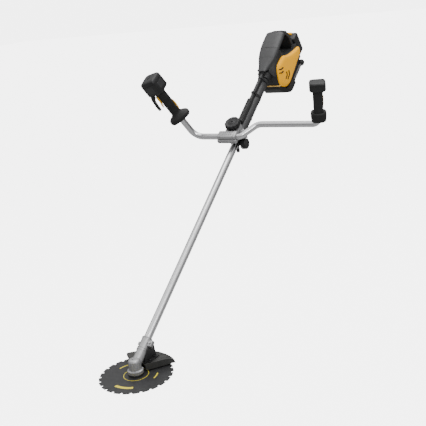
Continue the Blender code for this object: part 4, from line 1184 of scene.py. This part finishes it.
@dataclass
class BarClamp:
    """The clamp that holds the handlebar, its knob, and the harness hanger."""

    shop: Workshop
    pivot: float = 1049.0
    knob_radius: float = 32.0
    knob_base: float = 60.6
    knob_top: float = 83.0
    lobes: int = 12
    hanger_radius: float = 22.0
    hanger_lobes: int = 9

    def build(self) -> None:
        """Build the clamp's and the hanger's pieces."""
        self.castings()
        self.knob()
        self.hanger()

    def castings(self) -> None:
        """Build the skins of the three castings, and their screws and panels."""
        shop, at = self.shop, self.shop.places.shaft
        shop.restyled("clamp_base", Body.MACHINE, CAST_METAL, 0.6)
        shop.restyled("bar_clamp_body", Body.HANDLEBAR, CAST_METAL, 0.8)
        shop.restyled("bar_clamp_cap", Body.HANDLEBAR, CAST_METAL, 0.8)
        frame = Form()
        outer = [(-50.0, 36.0), (-8.0, 36.0), (-8.0, 46.6), (-50.0, 46.6)]
        inner = grown(outer, -2.2)
        frame.loft([[(x, 0.0, z) for x, z in outer], [(x, -1.2, z) for x, z in outer],
                    [(x, -1.2, z) for x, z in inner], [(x, 0.0, z) for x, z in inner]], closed=True)
        shop.piece("clamp_front_panel", frame, at.moved(0.0, 977.2, 0.0), Body.HANDLEBAR, CAST_METAL,
                   bevel=0.4)
        screw = socket_screw(4.0, 69.0, 72.4)
        shop.repeated("cap_screws_front", screw, 2, Vector((60.0, 0.0, 0.0)), at.moved(-38.0, 984.6, -0.6),
                      Body.HANDLEBAR, STEEL)
        ribs = Form().block((-1.1, 992.0, 68.0), (1.1, 1012.0, 70.2))
        shop.repeated("cap_ribs", ribs, 5, Vector((9.0, 0.0, 0.0)), at.moved(-26.0, 0.0, 0.0),
                      Body.HANDLEBAR, CAST_METAL)
        seam = Form().block((-21.5, 1027.6, -4.0), (-18.0, 1072.4, -2.6))
        seam.block((18.0, 1027.6, -4.0), (24.3, 1072.4, -2.6))
        shop.piece("base_seam", seam, at, Body.MACHINE, SLOT_BLACK)
        shop.repeated("base_screws", socket_screw(3.6, 24.0, 27.0), 2, Vector((26.0, 0.0, 0.0)),
                      at.moved(0.0, 1037.0, -12.0).side_view(), Body.MACHINE, STEEL)

    def knob(self) -> None:
        """Build the fluted knob: waisted lobes, a dished top and a hub cap."""
        shop = self.shop
        at = shop.places.shaft.moved(0.0, self.pivot, 0.0)
        low, high = self.knob_base, self.knob_top
        profile = ((0.84, low, 0.03), (0.93, low + 1.0, 0.06), (1.0, low + 4.5, 0.09),
                   (1.0, high - 6.0, 0.09), (0.97, high - 2.6, 0.08), (0.90, high - 0.7, 0.05),
                   (0.82, high, 0.02), (0.74, high - 0.2, 0.0), (0.70, high - 1.2, 0.0),
                   (0.30, high - 1.4, 0.0), (0.27, high - 0.4, 0.0), (0.20, high - 0.2, 0.0),
                   (0.15, high - 0.6, 0.0), (0.13, high - 6.0, 0.0))
        shop.piece("fluted_clamp_knob", fluted(profile, self.knob_radius, self.lobes), at,
                   Body.CLAMP_KNOB, BLACK_PLASTIC, ("clamp_knob",), sharp=50.0)
        mark = Form().block((-3.0, -0.8, high - 2.2), (3.0, 0.8, high - 0.9))
        shop.repeated("knob_top_marks", mark, self.lobes, self.knob_radius * 0.46, at,
                      Body.CLAMP_KNOB, BLACK_PLASTIC)

    def hanger(self) -> None:
        """Build the hanger band's skin and its side knob."""
        shop, at = self.shop, self.shop.places.shaft
        shop.restyled("hanger_band", Body.MACHINE, BLACK_PLASTIC, 0.5)
        axis = at.moved(0.0, 1013.0, -5.0).side_view()
        profile = ((0.72, 24.7, 0.0), (0.8, 25.6, 0.03), (0.98, 28.0, 0.08), (1.0, 31.0, 0.1),
                   (1.0, 45.0, 0.1), (0.95, 48.4, 0.08), (0.84, 50.0, 0.03), (0.7, 49.6, 0.0),
                   (0.6, 47.6, 0.0))
        shop.piece("fluted_hanger_knob", fluted(profile, self.hanger_radius, self.hanger_lobes), axis,
                   Body.HANGER_KNOB, BLACK_PLASTIC, ("hanger_knob",), sharp=50.0)
        rivet = Form().lathe([(0.0, 5.4), (3.0, 5.2), (4.2, 4.2), (4.4, 3.4), (0.0, 3.4)], 24)
        shop.piece("hanger_rivet", rivet, at.moved(0.0, 1008.0, -22.0).side_view(), Body.MACHINE, STEEL)


@dataclass
class Handlebar:
    """The bent tube that joins the two grips."""

    shop: Workshop
    radius: float = 12.5
    station: float = 1000.0
    height: float = 50.0
    right_end: float = -161.0
    right_reach: float = 249.5
    left_reach: float = 124.5

    def build(self) -> None:
        """Build the bar as one smooth tube."""
        right = Vector((self.right_end, self.station, self.height))
        left = Vector(LEFT_END)
        corners = [right + Vector(RIGHT_UP).normalized() * self.right_reach, right,
                   Vector((45.0, self.station, self.height)), Vector((99.0, left.y, left.z)),
                   left, left + Vector(LEFT_UP).normalized() * self.left_reach]
        path = rounded_path(corners, (48.0, 24.0, 36.0, 30.0), 14)
        self.shop.piece("bent_handlebar", Form().sweep(path, self.radius, 40), self.shop.places.shaft,
                        Body.HANDLEBAR, BAR_METAL, ("handlebar",))


# ------------------------------------------------------------------ grips


@dataclass
class TriggerGrip:
    """The right-hand grip with its switch head and levers."""

    shop: Workshop
    flange: float = 115.0
    head: float = 284.0
    head_width: float = 70.0

    def build(self) -> None:
        """Build the grip's pieces."""
        self.sleeve()
        self.switch_head()
        self.levers()

    def sleeve(self) -> None:
        """Build the rubber sleeve with its flange and finger swells."""
        shop, at = self.shop, self.shop.places.right_grip
        f = self.flange
        rings = [squircle(19.5, 16.6, f - 16.0, 2.3), squircle(26.0, 20.0, f - 15.5, 2.5),
                 squircle(41.0, 26.0, f - 12.5, 2.9), squircle(45.0, 28.8, f - 7.0, 3.0),
                 squircle(45.0, 29.0, f + 0.5, 3.0), squircle(43.0, 28.0, f + 4.0, 3.0),
                 squircle(35.0, 24.5, f + 10.0, 2.9), squircle(25.0, 20.0, f + 16.0, 2.6),
                 squircle(20.6, 17.4, f + 22.0, 2.4)]
        for step in range(12):
            along = f + 30.0 + step * 8.0
            swell = 0.45 * math.sin(step * math.pi / 2.0)
            rings.append(squircle(20.2 + swell, 17.6 + swell, along, 2.4))
        rings += [squircle(21.5, 19.5, 243.0, 2.7), squircle(24.0, 22.0, self.head - 35.3, 3.0)]
        shop.piece("trigger_grip_sleeve", Form().loft(rings), at, Body.HANDLEBAR, RUBBER, ("right_grip",),
                   sharp=60.0)
        rib = Form()
        for side in (-1.0, 1.0):
            rib.block((-12.0, side * 17.2 - 0.7, -0.9), (9.0, side * 17.2 + 0.7, 0.9))
        shop.repeated("trigger_grip_ribs", rib, 16, Vector((0.0, 0.0, 5.2)), at.moved(0.0, 0.0, 146.0),
                      Body.HANDLEBAR, RUBBER)
        band = Form().loft([squircle(45.4, 29.4, f - 5.0, 3.0), squircle(45.4, 29.4, f - 3.4, 3.0),
                            squircle(43.0, 27.0, f - 3.4, 3.0), squircle(43.0, 27.0, f - 5.0, 3.0)],
                           closed=True)
        shop.piece("trigger_flange_bead", band, at, Body.HANDLEBAR, BLACK_PLASTIC, bevel=0.3)

    def switch_head(self) -> None:
        """Build the square head with its cap, its seam, screws and button collar."""
        shop = self.shop
        at = shop.places.right_grip.spun(45.0)
        half = self.head_width / 2.0
        low, high = self.head - half, self.head + half
        rings = square_rings((
            (half - 9.0, low, 4.0), (half - 5.0, low + 1.6, 4.5), (half - 0.6, low + 6.0, 6.0),
            (half, low + 9.0, 7.0), (half, high - 19.0, 7.0), (half - 0.9, high - 18.6, 7.0),
            (half - 0.9, high - 17.4, 7.0), (half, high - 17.0, 7.0), (half - 0.4, high - 9.0, 6.5),
            (half - 3.0, high - 4.0, 6.0), (half - 9.0, high - 0.6, 5.0), (half - 12.0, high, 4.5),
            (9.0, high, 2.0), (7.6, high - 1.4, 2.0), (6.4, high - 1.6, 2.0), (6.4, high - 11.0, 2.0)))
        shop.piece("switch_head_shell", Form().loft(rings), at, Body.HANDLEBAR, BLACK_PLASTIC,
                   ("switch_head",), sharp=40.0)
        shop.repeated("switch_head_screws", socket_screw(2.2, high - 3.9, high - 2.4), 4, half - 9.0,
                      at.spun(45.0), Body.HANDLEBAR, STEEL)
        badge = Form()
        for side in range(4):
            turn = Matrix.Rotation(math.pi / 2.0 * side, 3, "Z")
            pad = [(half - 1.0, -17.0, self.head - 17.0), (half - 1.0, 17.0, self.head - 17.0),
                   (half - 1.0, 17.0, self.head + 10.0), (half - 1.0, -17.0, self.head + 10.0)]
            badge.loft([[turn @ Vector(p) for p in pad],
                        [turn @ (Vector(p) + Vector((1.5, 0.0, 0.0))) for p in pad]])
        shop.piece("switch_head_panels", badge, at, Body.HANDLEBAR, DARK_PLASTIC, bevel=0.6)
        button = Form().lathe([(0.0, high + 1.4), (3.6, high + 1.8), (5.2, high + 1.4), (6.0, high + 0.2),
                               (6.0, high - 7.9), (0.0, high - 7.9)], 32)
        shop.piece("round_speed_button", button, shop.places.right_grip, Body.SPEED_BUTTON, DARK_PLASTIC,
                   ("speed_button",))

    def levers(self) -> None:
        """Build the trigger, the lock-off lever and the ribbed finger guard."""
        shop = self.shop
        at = shop.places.right_grip
        upright = at.front_view()
        trigger = smooth_outline([(15.2, 231.0), (15.2, 237.2), (21.8, 239.2), (26.2, 232.0), (25.2, 215.0),
                                  (28.2, 193.0), (24.8, 186.4), (20.9, 200.0), (19.0, 221.0)], 3)
        shop.piece("curved_trigger", Form().prism(trigger, -8.4, 8.4), upright, Body.TRIGGER,
                   TRIGGER_YELLOW, ("trigger",), bevel=1.0, sharp=50.0)
        lock_off = smooth_outline([(-15.2, 144.6), (-18.8, 143.4), (-22.2, 152.0), (-23.6, 177.0),
                                   (-20.2, 188.6), (-18.3, 178.0), (-17.4, 155.0)], 3)
        shop.piece("curved_lock_off_lever", Form().prism(lock_off, -9.9, 9.9), upright, Body.LOCK_OFF,
                   TRIGGER_YELLOW, ("lock_off_lever",), bevel=0.9, sharp=50.0)
        guard = smooth_outline([(26.0, 250.0), (41.0, 250.0), (45.6, 236.0), (47.0, 226.0), (49.6, 206.0),
                                (48.0, 188.0), (38.0, 187.4), (36.2, 205.0), (34.0, 226.0), (31.0, 236.0),
                                (26.0, 240.0)], 3)
        shop.piece("stout_finger_guard", Form().prism(guard, -9.5, 9.5), upright, Body.HANDLEBAR,
                   BLACK_PLASTIC, ("finger_guard",), bevel=1.2, sharp=50.0)
        rib = Form().block((-1.2, -8.4, -0.9), (1.6, 8.4, 0.9))
        shop.repeated("finger_guard_ribs", rib, 7, Vector((0.5, 0.0, -6.4)), at.moved(45.2, 0.0, 236.0),
                      Body.HANDLEBAR, BLACK_PLASTIC)


@dataclass
class PlainGrip:
    """The left-hand grip: a sleeve in a cupped flange, and a head block."""

    shop: Workshop
    cup: float = 13.0
    head: float = 150.0
    half: float = 31.0

    def build(self) -> None:
        """Build the grip's pieces."""
        shop, at = self.shop, self.shop.places.left_grip
        f = self.cup
        cup = [squircle(22.2, 22.2, f + 20.8, 2.0), squircle(22.2, 22.2, f + 1.0, 2.0),
               squircle(23.4, 23.0, f, 2.2), squircle(27.0, 26.0, f, 2.5), squircle(28.6, 27.6, f + 1.4, 2.6),
               squircle(30.4, 29.4, f + 14.0, 2.7), squircle(31.0, 30.0, f + 28.0, 2.8),
               squircle(30.4, 29.4, f + 35.0, 2.8), squircle(28.0, 27.0, f + 37.6, 2.8),
               squircle(26.0, 25.0, f + 36.4, 2.7), squircle(20.0, 19.0, f + 35.0, 2.5),
               squircle(14.0, 14.0, f + 35.0, 2.0), squircle(14.0, 14.0, f + 20.8, 2.0)]
        shop.piece("grip_cup", Form().loft(cup, closed=True), at, Body.HANDLEBAR, RUBBER, sharp=50.0)
        rings = [squircle(20.6, 19.6, f + 35.0, 2.6), squircle(19.6, 18.6, f + 42.0, 2.5),
                 squircle(18.4, 17.5, f + 48.0, 2.4)]
        for step in range(9):
            along = f + 54.0 + step * 7.0
            swell = 0.4 * math.sin(step * math.pi / 2.0)
            wide = 18.2 + 1.8 * step / 8.0 + swell
            rings.append(squircle(wide, wide - 0.6, along, 2.4))
        rings += [squircle(21.6, 20.6, self.head - 19.4, 2.9)]
        shop.piece("plain_grip_sleeve", Form().loft(rings), at, Body.HANDLEBAR, RUBBER, ("left_grip",),
                   sharp=60.0)
        rib = Form()
        for side in (-1.0, 1.0):
            rib.block((-9.0, side * 18.0 - 0.9, -0.8), (9.0, side * 18.0 + 0.9, 0.8))
        shop.repeated("plain_grip_ribs", rib, 10, Vector((0.0, 0.0, 6.0)), at.moved(0.0, 0.0, f + 54.0),
                      Body.HANDLEBAR, RUBBER)
        accent = Form().block((-3.0, 18.2, 78.0), (3.0, 20.6, 112.0))
        shop.piece("grip_accent", accent, at, Body.HANDLEBAR, PALE_YELLOW, bevel=0.6)
        self.head_block()

    def head_block(self) -> None:
        """Build the head block with its seam and top recess."""
        shop, at, half, mid = self.shop, self.shop.places.left_grip, self.half, self.head
        rings = square_rings((
            (half - 7.0, mid - 19.0, 4.0), (half - 2.0, mid - 15.0, 5.0), (half, mid - 10.0, 6.5),
            (half, mid + 5.0, 7.0), (half - 0.9, mid + 5.5, 7.0), (half - 0.9, mid + 6.7, 7.0),
            (half, mid + 7.2, 7.0), (half - 0.3, mid + 12.0, 6.5), (half - 2.6, mid + 16.6, 6.0),
            (half - 5.0, mid + 18.0, 5.5), (half - 8.0, mid + 18.0, 5.0), (half - 9.0, mid + 16.6, 5.0)))
        shop.piece("plain_head_block", Form().loft(rings), at, Body.HANDLEBAR, BLACK_PLASTIC,
                   ("left_grip_head",), sharp=40.0)


# ------------------------------------------------------------------ power head


# Along the shaft: station, half width, top, bottom, and whether the section is solid
HOOD_STATIONS = (
    (1380.0, 15.6, 43.4, 40.6, True), (1382.4, 16.8, 44.6, 40.6, True), (1382.5, 16.8, 44.6, 40.6, False),
    (1398.0, 20.5, 48.0, 33.0, False), (1412.0, 25.5, 50.4, 31.6, False), (1430.0, 32.0, 53.6, 35.5, False),
    (1450.0, 37.5, 57.6, 40.5, False), (1451.0, 37.8, 58.4, 40.8, False), (1475.0, 41.5, 63.6, 47.0, False),
    (1500.0, 43.0, 67.6, 53.0, False), (1501.0, 43.2, 68.6, 53.2, False), (1525.0, 44.0, 71.4, 56.5, False),
    (1557.0, 43.5, 74.6, 58.0, False), (1590.0, 42.0, 76.5, 59.5, False))


@dataclass
class PowerHead:
    """Housing, hood, covers, handle, bumper, skids and battery."""

    shop: Workshop
    side: float = 43.0
    cover: tuple[tuple[float, float], ...] = (
        (1432.0, 16.0), (1478.0, 18.0), (1505.0, 13.0), (1528.0, -4.0), (1558.0, -23.0), (1606.0, -44.0),
        (1652.0, -64.0), (1645.0, -91.0), (1590.0, -97.0), (1520.0, -106.0), (1462.0, -110.5),
        (1428.0, -94.0), (1401.0, -60.0), (1406.0, -24.0))
    cover_middle: tuple[float, float] = (1520.0, -50.0)
    # The right cover's first, second and last corner, which lie lower than the left one's
    lowered: tuple[tuple[float, float], ...] = ((1442.0, 3.0), (1482.0, 10.0), (1413.0, -34.0))
    # Each slot's start, bend and end: two short ones above the motor and two curved ones below
    slots: tuple[tuple[tuple[float, float], ...], ...] = (
        ((1429.0, 4.0), (1440.0, -4.0), (1456.0, -9.0)),
        ((1421.0, -9.0), (1432.0, -17.0), (1447.0, -22.0)),
        ((1488.0, -54.0), (1482.0, -72.0), (1456.0, -76.0)),
        ((1468.0, -44.0), (1464.0, -58.0), (1444.0, -62.0)))
    bulge: tuple[tuple[float, float], ...] = (
        (1.0, 0.3), (1.0, 4.4), (0.993, 5.8), (0.968, 6.9), (0.958, 6.9), (0.94, 8.8), (0.89, 11.2),
        (0.82, 12.8), (0.7, 13.8), (0.5, 14.3), (0.25, 14.5))

    def build(self) -> None:
        """Build every piece of the power head."""
        self.housings()
        self.hood()
        self.covers()
        self.handle()
        self.bumper()
        self.battery()

    def housings(self) -> None:
        """Build the skins of the two housings and their small details."""
        shop, at = self.shop, self.shop.places.shaft
        shop.restyled("motor_housing", Body.MACHINE, BLACK_PLASTIC, 0.8)
        shop.restyled("battery_housing", Body.MACHINE, DARK_PLASTIC, 0.6)
        collar = Form().lathe([(20.2, 1366.0), (25.6, 1368.0), (26.4, 1372.0), (26.4, 1378.0), (24.4, 1380.0),
                               (20.2, 1380.0)], 48)
        shop.piece("neck_collar", collar, at.along_y(), Body.MACHINE, BLACK_PLASTIC, bevel=0.5)
        edge = rounded_path([(-36.0, 1402.0, -57.6), (-36.0, 1394.4, -57.6), (43.0, 1394.4, -57.6),
                             (46.5, 1402.0, -62.0)], (4.0, 3.0), 6)
        shop.piece("front_lip", Form().sweep(edge, 2.2, 16), at, Body.MACHINE, PALE_YELLOW)
        louvre = Form().block((-1.3, -1.0, -26.0), (1.3, 1.0, 0.0))
        shop.repeated("front_louvres", louvre, 7, Vector((8.0, 0.0, 0.0)), at.moved(-24.0, 1395.6, -28.0),
                      Body.MACHINE, DARK_PLASTIC)
        ribs = Form().block((-1.2, 0.0, -1.6), (1.2, 30.0, 0.0))
        shop.repeated("deck_ribs", ribs, 6, Vector((12.0, 0.0, 0.0)),
                      Placement(at.moved(-30.0, 1575.0, -26.6).origin, at.x,
                                (at.y * 0.915 - at.z * 0.403).normalized(),
                                (at.y * 0.403 + at.z * 0.915).normalized()), Body.MACHINE, DARK_PLASTIC)

    def hood(self) -> None:
        """Build the hood, a shell in three slopes that swells back along the shaft, and its wall."""
        shop = self.shop
        outer, inner = [], []
        for station, half, top, bottom, solid in HOOD_STATIONS:
            arch = []
            for step in range(25):
                turn = math.pi * step / 24.0
                across = math.copysign(abs(math.cos(turn)) ** 0.66, -math.cos(turn))
                arch.append((across, math.sin(turn) ** 0.66))
            outer.append([(x * (half + 1.1), station, bottom + z * (top + 1.1 - bottom)) for x, z in arch])
            depth = 0.0 if solid else top - 1.3 - bottom
            inner.append([(x * (half - 1.3), station, bottom + z * depth) for x, z in arch])
        rings = [upper + lower[::-1] for upper, lower in zip(outer, inner)]
        core = Form().block((-39.0, 1502.0, 44.0), (39.0, 1518.0, 63.0))
        shop.piece("hood_wall", core, shop.places.shaft, Body.MACHINE, BLACK_PLASTIC, bevel=1.0)
        shop.piece("hood_shell", Form().loft(rings), shop.places.shaft, Body.MACHINE, HOOD_PLASTIC,
                   ("hood",), bevel=0.4, sharp=11.0)

    def covers(self) -> None:
        """Build the bulged side covers and their cooling slots."""
        for name, node, side in (("left_side_cover", "left_cover", 1.0),
                                 ("right_side_cover", "right_cover", -1.0)):
            self.cover_shell(name, node, side)
            self.cover_slots(name.replace("side_cover", "cooling_slots"), side)

    def cover_shell(self, name: str, node: str, side: float) -> None:
        """Build one cover.

        Args:
            name: the piece's name.
            node: the frame's node that it is shown in place of.
            side: 1 on the left and -1 on the right.
        """
        corners = list(self.cover)
        if side < 0.0:
            corners[0], corners[1], corners[-1] = self.lowered
        base = smooth_outline(corners, 5)
        middle = Vector(self.cover_middle)
        rings = []
        for grow, out in self.bulge:
            ring = [middle + (Vector(point) - middle) * grow for point in base]
            rings.append([(side * (self.side + out), s, h) for s, h in ring])
        self.shop.piece(name, Form().loft(rings), self.shop.places.shaft, Body.MACHINE, YELLOW, (node,),
                        sharp=40.0)

    def lift(self, station: float, height: float) -> float:
        """Return how far the cover stands out from the housing's side at a place in the side view.

        Args:
            station: the place's distance along the shaft.
            height: its height over the shaft's axis.

        Returns:
            How far the cover stands out from the housing's side there.
        """
        middle = Vector(self.cover_middle)
        ray = Vector((station, height)) - middle
        share = 1.0
        outline = [Vector(point) - middle for point in self.cover]
        for one, two in zip(outline, outline[1:] + outline[:1]):
            edge = two - one
            across = ray.x * edge.y - ray.y * edge.x
            reach = (one.x * edge.y - one.y * edge.x) / across
            along = (one.x * ray.y - one.y * ray.x) / across
            if reach > 0.0 and 0.0 <= along <= 1.0:
                share = 1.0 / reach
        for (wide, low), (narrow, high) in zip(self.bulge, self.bulge[1:]):
            if narrow <= share <= wide and wide > narrow:
                return low + (high - low) * (wide - share) / (wide - narrow)
        return self.bulge[-1][1]

    def cover_slots(self, name: str, side: float) -> None:
        """Build one side's dark slots.

        Args:
            name: the piece's name.
            side: 1 on the left and -1 on the right.
        """
        form = Form()
        for spots in self.slots:
            flat = rounded_path([(0.0, *spot) for spot in spots], (9.0,), 8)
            path = [(side * (self.side + self.lift(point.y, point.z) - 0.5), point.y, point.z)
                    for point in flat]
            form.sweep(path, 3.3, 12)
        self.shop.piece(name, form, self.shop.places.shaft, Body.MACHINE, SLOT_BLACK, bevel=0.8)

    def handle(self) -> None:
        """Build the carry handle's skin, its grip pad and the feet beside its lower end."""
        shop, at = self.shop, self.shop.places.shaft
        shop.restyled("rear_handle", Body.MACHINE, DARK_PLASTIC, 1.2)
        pad_path = [(1598.0, 70.2), (1618.0, 58.0), (1636.0, 40.0), (1646.0, 20.0), (1651.0, 0.0)]
        rings = []
        for s, h in pad_path:
            rings.append([(-20.0, s - 3.0, h - 3.0), (20.0, s - 3.0, h - 3.0), (20.0, s + 1.4, h + 1.4),
                          (-20.0, s + 1.4, h + 1.4)])
        shop.piece("handle_pad", Form().loft(rings), at, Body.MACHINE, RUBBER, bevel=0.8)
        foot = [(1614.0, -46.5), (1628.0, -36.0), (1650.0, -44.0), (1650.0, -66.0), (1641.0, -59.0)]
        feet = Form().prism(foot, 29.0, 42.0).prism(foot, -42.0, -29.0)
        shop.piece("handle_feet", feet, at.side_view(), Body.MACHINE, DARK_PLASTIC, bevel=1.0)

    def bumper(self) -> None:
        """Build the bumper's skin, the skid rail, its webs and its caps."""
        shop, at = self.shop, self.shop.places.shaft
        shop.restyled("base_bumper", Body.MACHINE, RUBBER, 3.0)
        rail = rounded_path([(-46.0, 1626.0, -136.0), (-46.0, 1474.0, -136.0), (46.0, 1474.0, -136.0),
                             (46.0, 1626.0, -136.0)], (14.0, 14.0), 10)
        shop.piece("bent_skid_rail", Form().sweep(rail, 6.5, 28), at, Body.MACHINE, GREY_PLASTIC,
                   ("skid_rail",))
        webs = Form()
        for side in (-40.5, 40.5):
            webs.block((side - 2.5, 1506.2, -134.0), (side + 2.5, 1612.0, -119.0))
        shop.piece("skid_webs", webs, at, Body.MACHINE, BLACK_PLASTIC, bevel=0.8)
        for side, node in ((46.0, "left_rail_cap"), (-46.0, "right_rail_cap")):
            cap = Form().lathe([(0.0, 15.0), (5.0, 14.6), (9.4, 12.6), (12.6, 8.6), (14.3, 3.0), (14.4, -3.0),
                                (12.6, -8.0), (9.4, -11.4), (6.8, -12.8), (6.8, 0.4), (0.0, 0.4)], 40)
            shop.piece(f"round_{node}", cap, at.moved(side, 1626.0, -136.0).along_y(), Body.MACHINE, RUBBER,
                       (node,))

    def battery(self) -> None:
        """Build the battery pack's skin, its ribs, gauge and latch."""
        shop, at = self.shop, self.shop.places.shaft
        shop.restyled("battery_pack", Body.BATTERY, BLACK_PLASTIC, 1.2)
        shop.restyled("battery_latch", Body.BATTERY_LATCH, YELLOW, 0.6)
        rib = Form().block((-1.2, 0.0, -60.0), (1.2, 1.4, 0.0))
        shop.repeated("battery_end_ribs", rib, 6, Vector((9.0, 0.0, 0.0)), at.moved(-22.5, 1703.4, -46.0),
                      Body.BATTERY, BLACK_PLASTIC)
        gauge = Form().block((-1.8, 0.0, -1.8), (1.8, 1.2, 1.8))
        shop.repeated("battery_gauge", gauge, 4, Vector((6.0, 0.0, 0.0)), at.moved(-9.0, 1703.4, -36.0),
                      Body.BATTERY, GREY_PLASTIC)


# ------------------------------------------------------------------ studio


@dataclass
class Studio:
    """A pale floor, soft lights and the camera."""

    places: Places
    focal: float = 65.96
    reach: float = 6.0
    backdrop: float = 5.0

    def build(self, floor: float) -> None:
        """Set the studio up.

        Args:
            floor: the floor's height, in metres.
        """
        self.floor(floor)
        self.lights()
        self.camera()

    def floor(self, height: float) -> None:
        """Lay the pale floor."""
        mesh = bpy.data.meshes.new("floor")
        r = self.reach * 4.0
        mesh.from_pydata([(-r, -r, height), (r, -r, height), (r, r, height), (-r, r, height)], [],
                         [(0, 1, 2, 3)])
        floor = bpy.data.objects.new("floor", mesh)
        bpy.context.scene.collection.objects.link(floor)
        material = bpy.data.materials.new("pale_floor")
        material.use_nodes = True
        wiring = Wiring(material.node_tree)
        seen = wiring.node("ShaderNodeLightPath").outputs["Is Camera Ray"]
        wiring.fill(wiring.nodes["Principled BSDF"], Base_Color=(0.35, 0.35, 0.35, 1.0), Roughness=0.9,
                    Emission_Color=WHITE, Emission_Strength=wiring.maths("MULTIPLY", seen, self.backdrop))
        mesh.materials.append(material)
        floor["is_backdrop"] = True
        self.sky()

    def sky(self) -> None:
        """Light the object from a sky that is bright overhead and dim at the horizon."""
        world = bpy.data.worlds.new("studio")
        world.use_nodes = True
        wiring = Wiring(world.node_tree)
        place = wiring.node("ShaderNodeTexCoord").outputs["Generated"]
        height = wiring.node("ShaderNodeSeparateXYZ", Vector=place).outputs["Z"]
        rise = wiring.node("ShaderNodeMapRange", Value=height, From_Min=0.05, From_Max=0.75, To_Min=0.12,
                           To_Max=1.5)
        seen = wiring.node("ShaderNodeLightPath").outputs["Is Camera Ray"]
        pick = wiring.node("ShaderNodeMix", Factor=seen, A=rise.outputs["Result"], B=self.backdrop)
        wiring.fill(wiring.nodes["Background"], Color=WHITE, Strength=pick.outputs["Result"])
        bpy.context.scene.world = world

    def lights(self) -> None:
        """Hang three soft lights round the object."""
        target = Vector((0.0, -0.1, 0.0))
        for name, at, power, size in (("key", (2.6, -2.2, 2.6), 90.0, 1.6),
                                      ("fill", (-3.0, -1.8, 2.0), 18.0, 2.4),
                                      ("top", (0.2, 0.6, 3.6), 80.0, 2.6)):
            lamp = bpy.data.lights.new(name, "AREA")
            lamp.energy = power
            lamp.size = size
            obj = bpy.data.objects.new(name, lamp)
            bpy.context.scene.collection.objects.link(obj)
            obj.location = at
            obj.rotation_euler = (target - obj.location).to_track_quat("-Z", "Y").to_euler()

    def camera(self) -> None:
        """Stand the camera where the object is seen from its front left, a little above."""
        lens = bpy.data.cameras.new("camera")
        lens.lens = self.focal
        lens.sensor_width = 36.0
        camera = bpy.data.objects.new("camera", lens)
        bpy.context.scene.collection.objects.link(camera)
        spot = self.places.blade.moved(1532.3, -1834.8, 1245.1).origin
        right = Vector((0.8589, 0.4993, -0.1138)).normalized()
        ahead = Vector((-0.5095, 0.8108, -0.2882)).normalized()
        up = right.cross(ahead).normalized()
        turn = Matrix((right, up, -ahead)).transposed()
        camera.matrix_world = Matrix.Translation(spot) @ turn.to_4x4()
        bpy.context.scene.camera = camera


def main() -> None:
    """Load the frame, build each sub-assembly and set the studio round it."""
    logging.basicConfig(level=logging.INFO, format="%(message)s")
    for obj in list(bpy.data.objects):
        bpy.data.objects.remove(obj, do_unlink=True)
    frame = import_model()
    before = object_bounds()
    places = Places.from_frame(frame)
    slope = math.atan2(places.shaft.y.z, places.shaft.y.y)
    shop = Workshop(frame, places, Palette(slope))
    for part in (CuttingEnd(shop), ShaftRun(shop), BarClamp(shop), Handlebar(shop), TriggerGrip(shop),
                 PlainGrip(shop), PowerHead(shop)):
        part.build()
    shop.dress_hidden_nodes()
    Studio(places).build(before[0].z - 0.55)


if __name__ == "__main__":
    main()
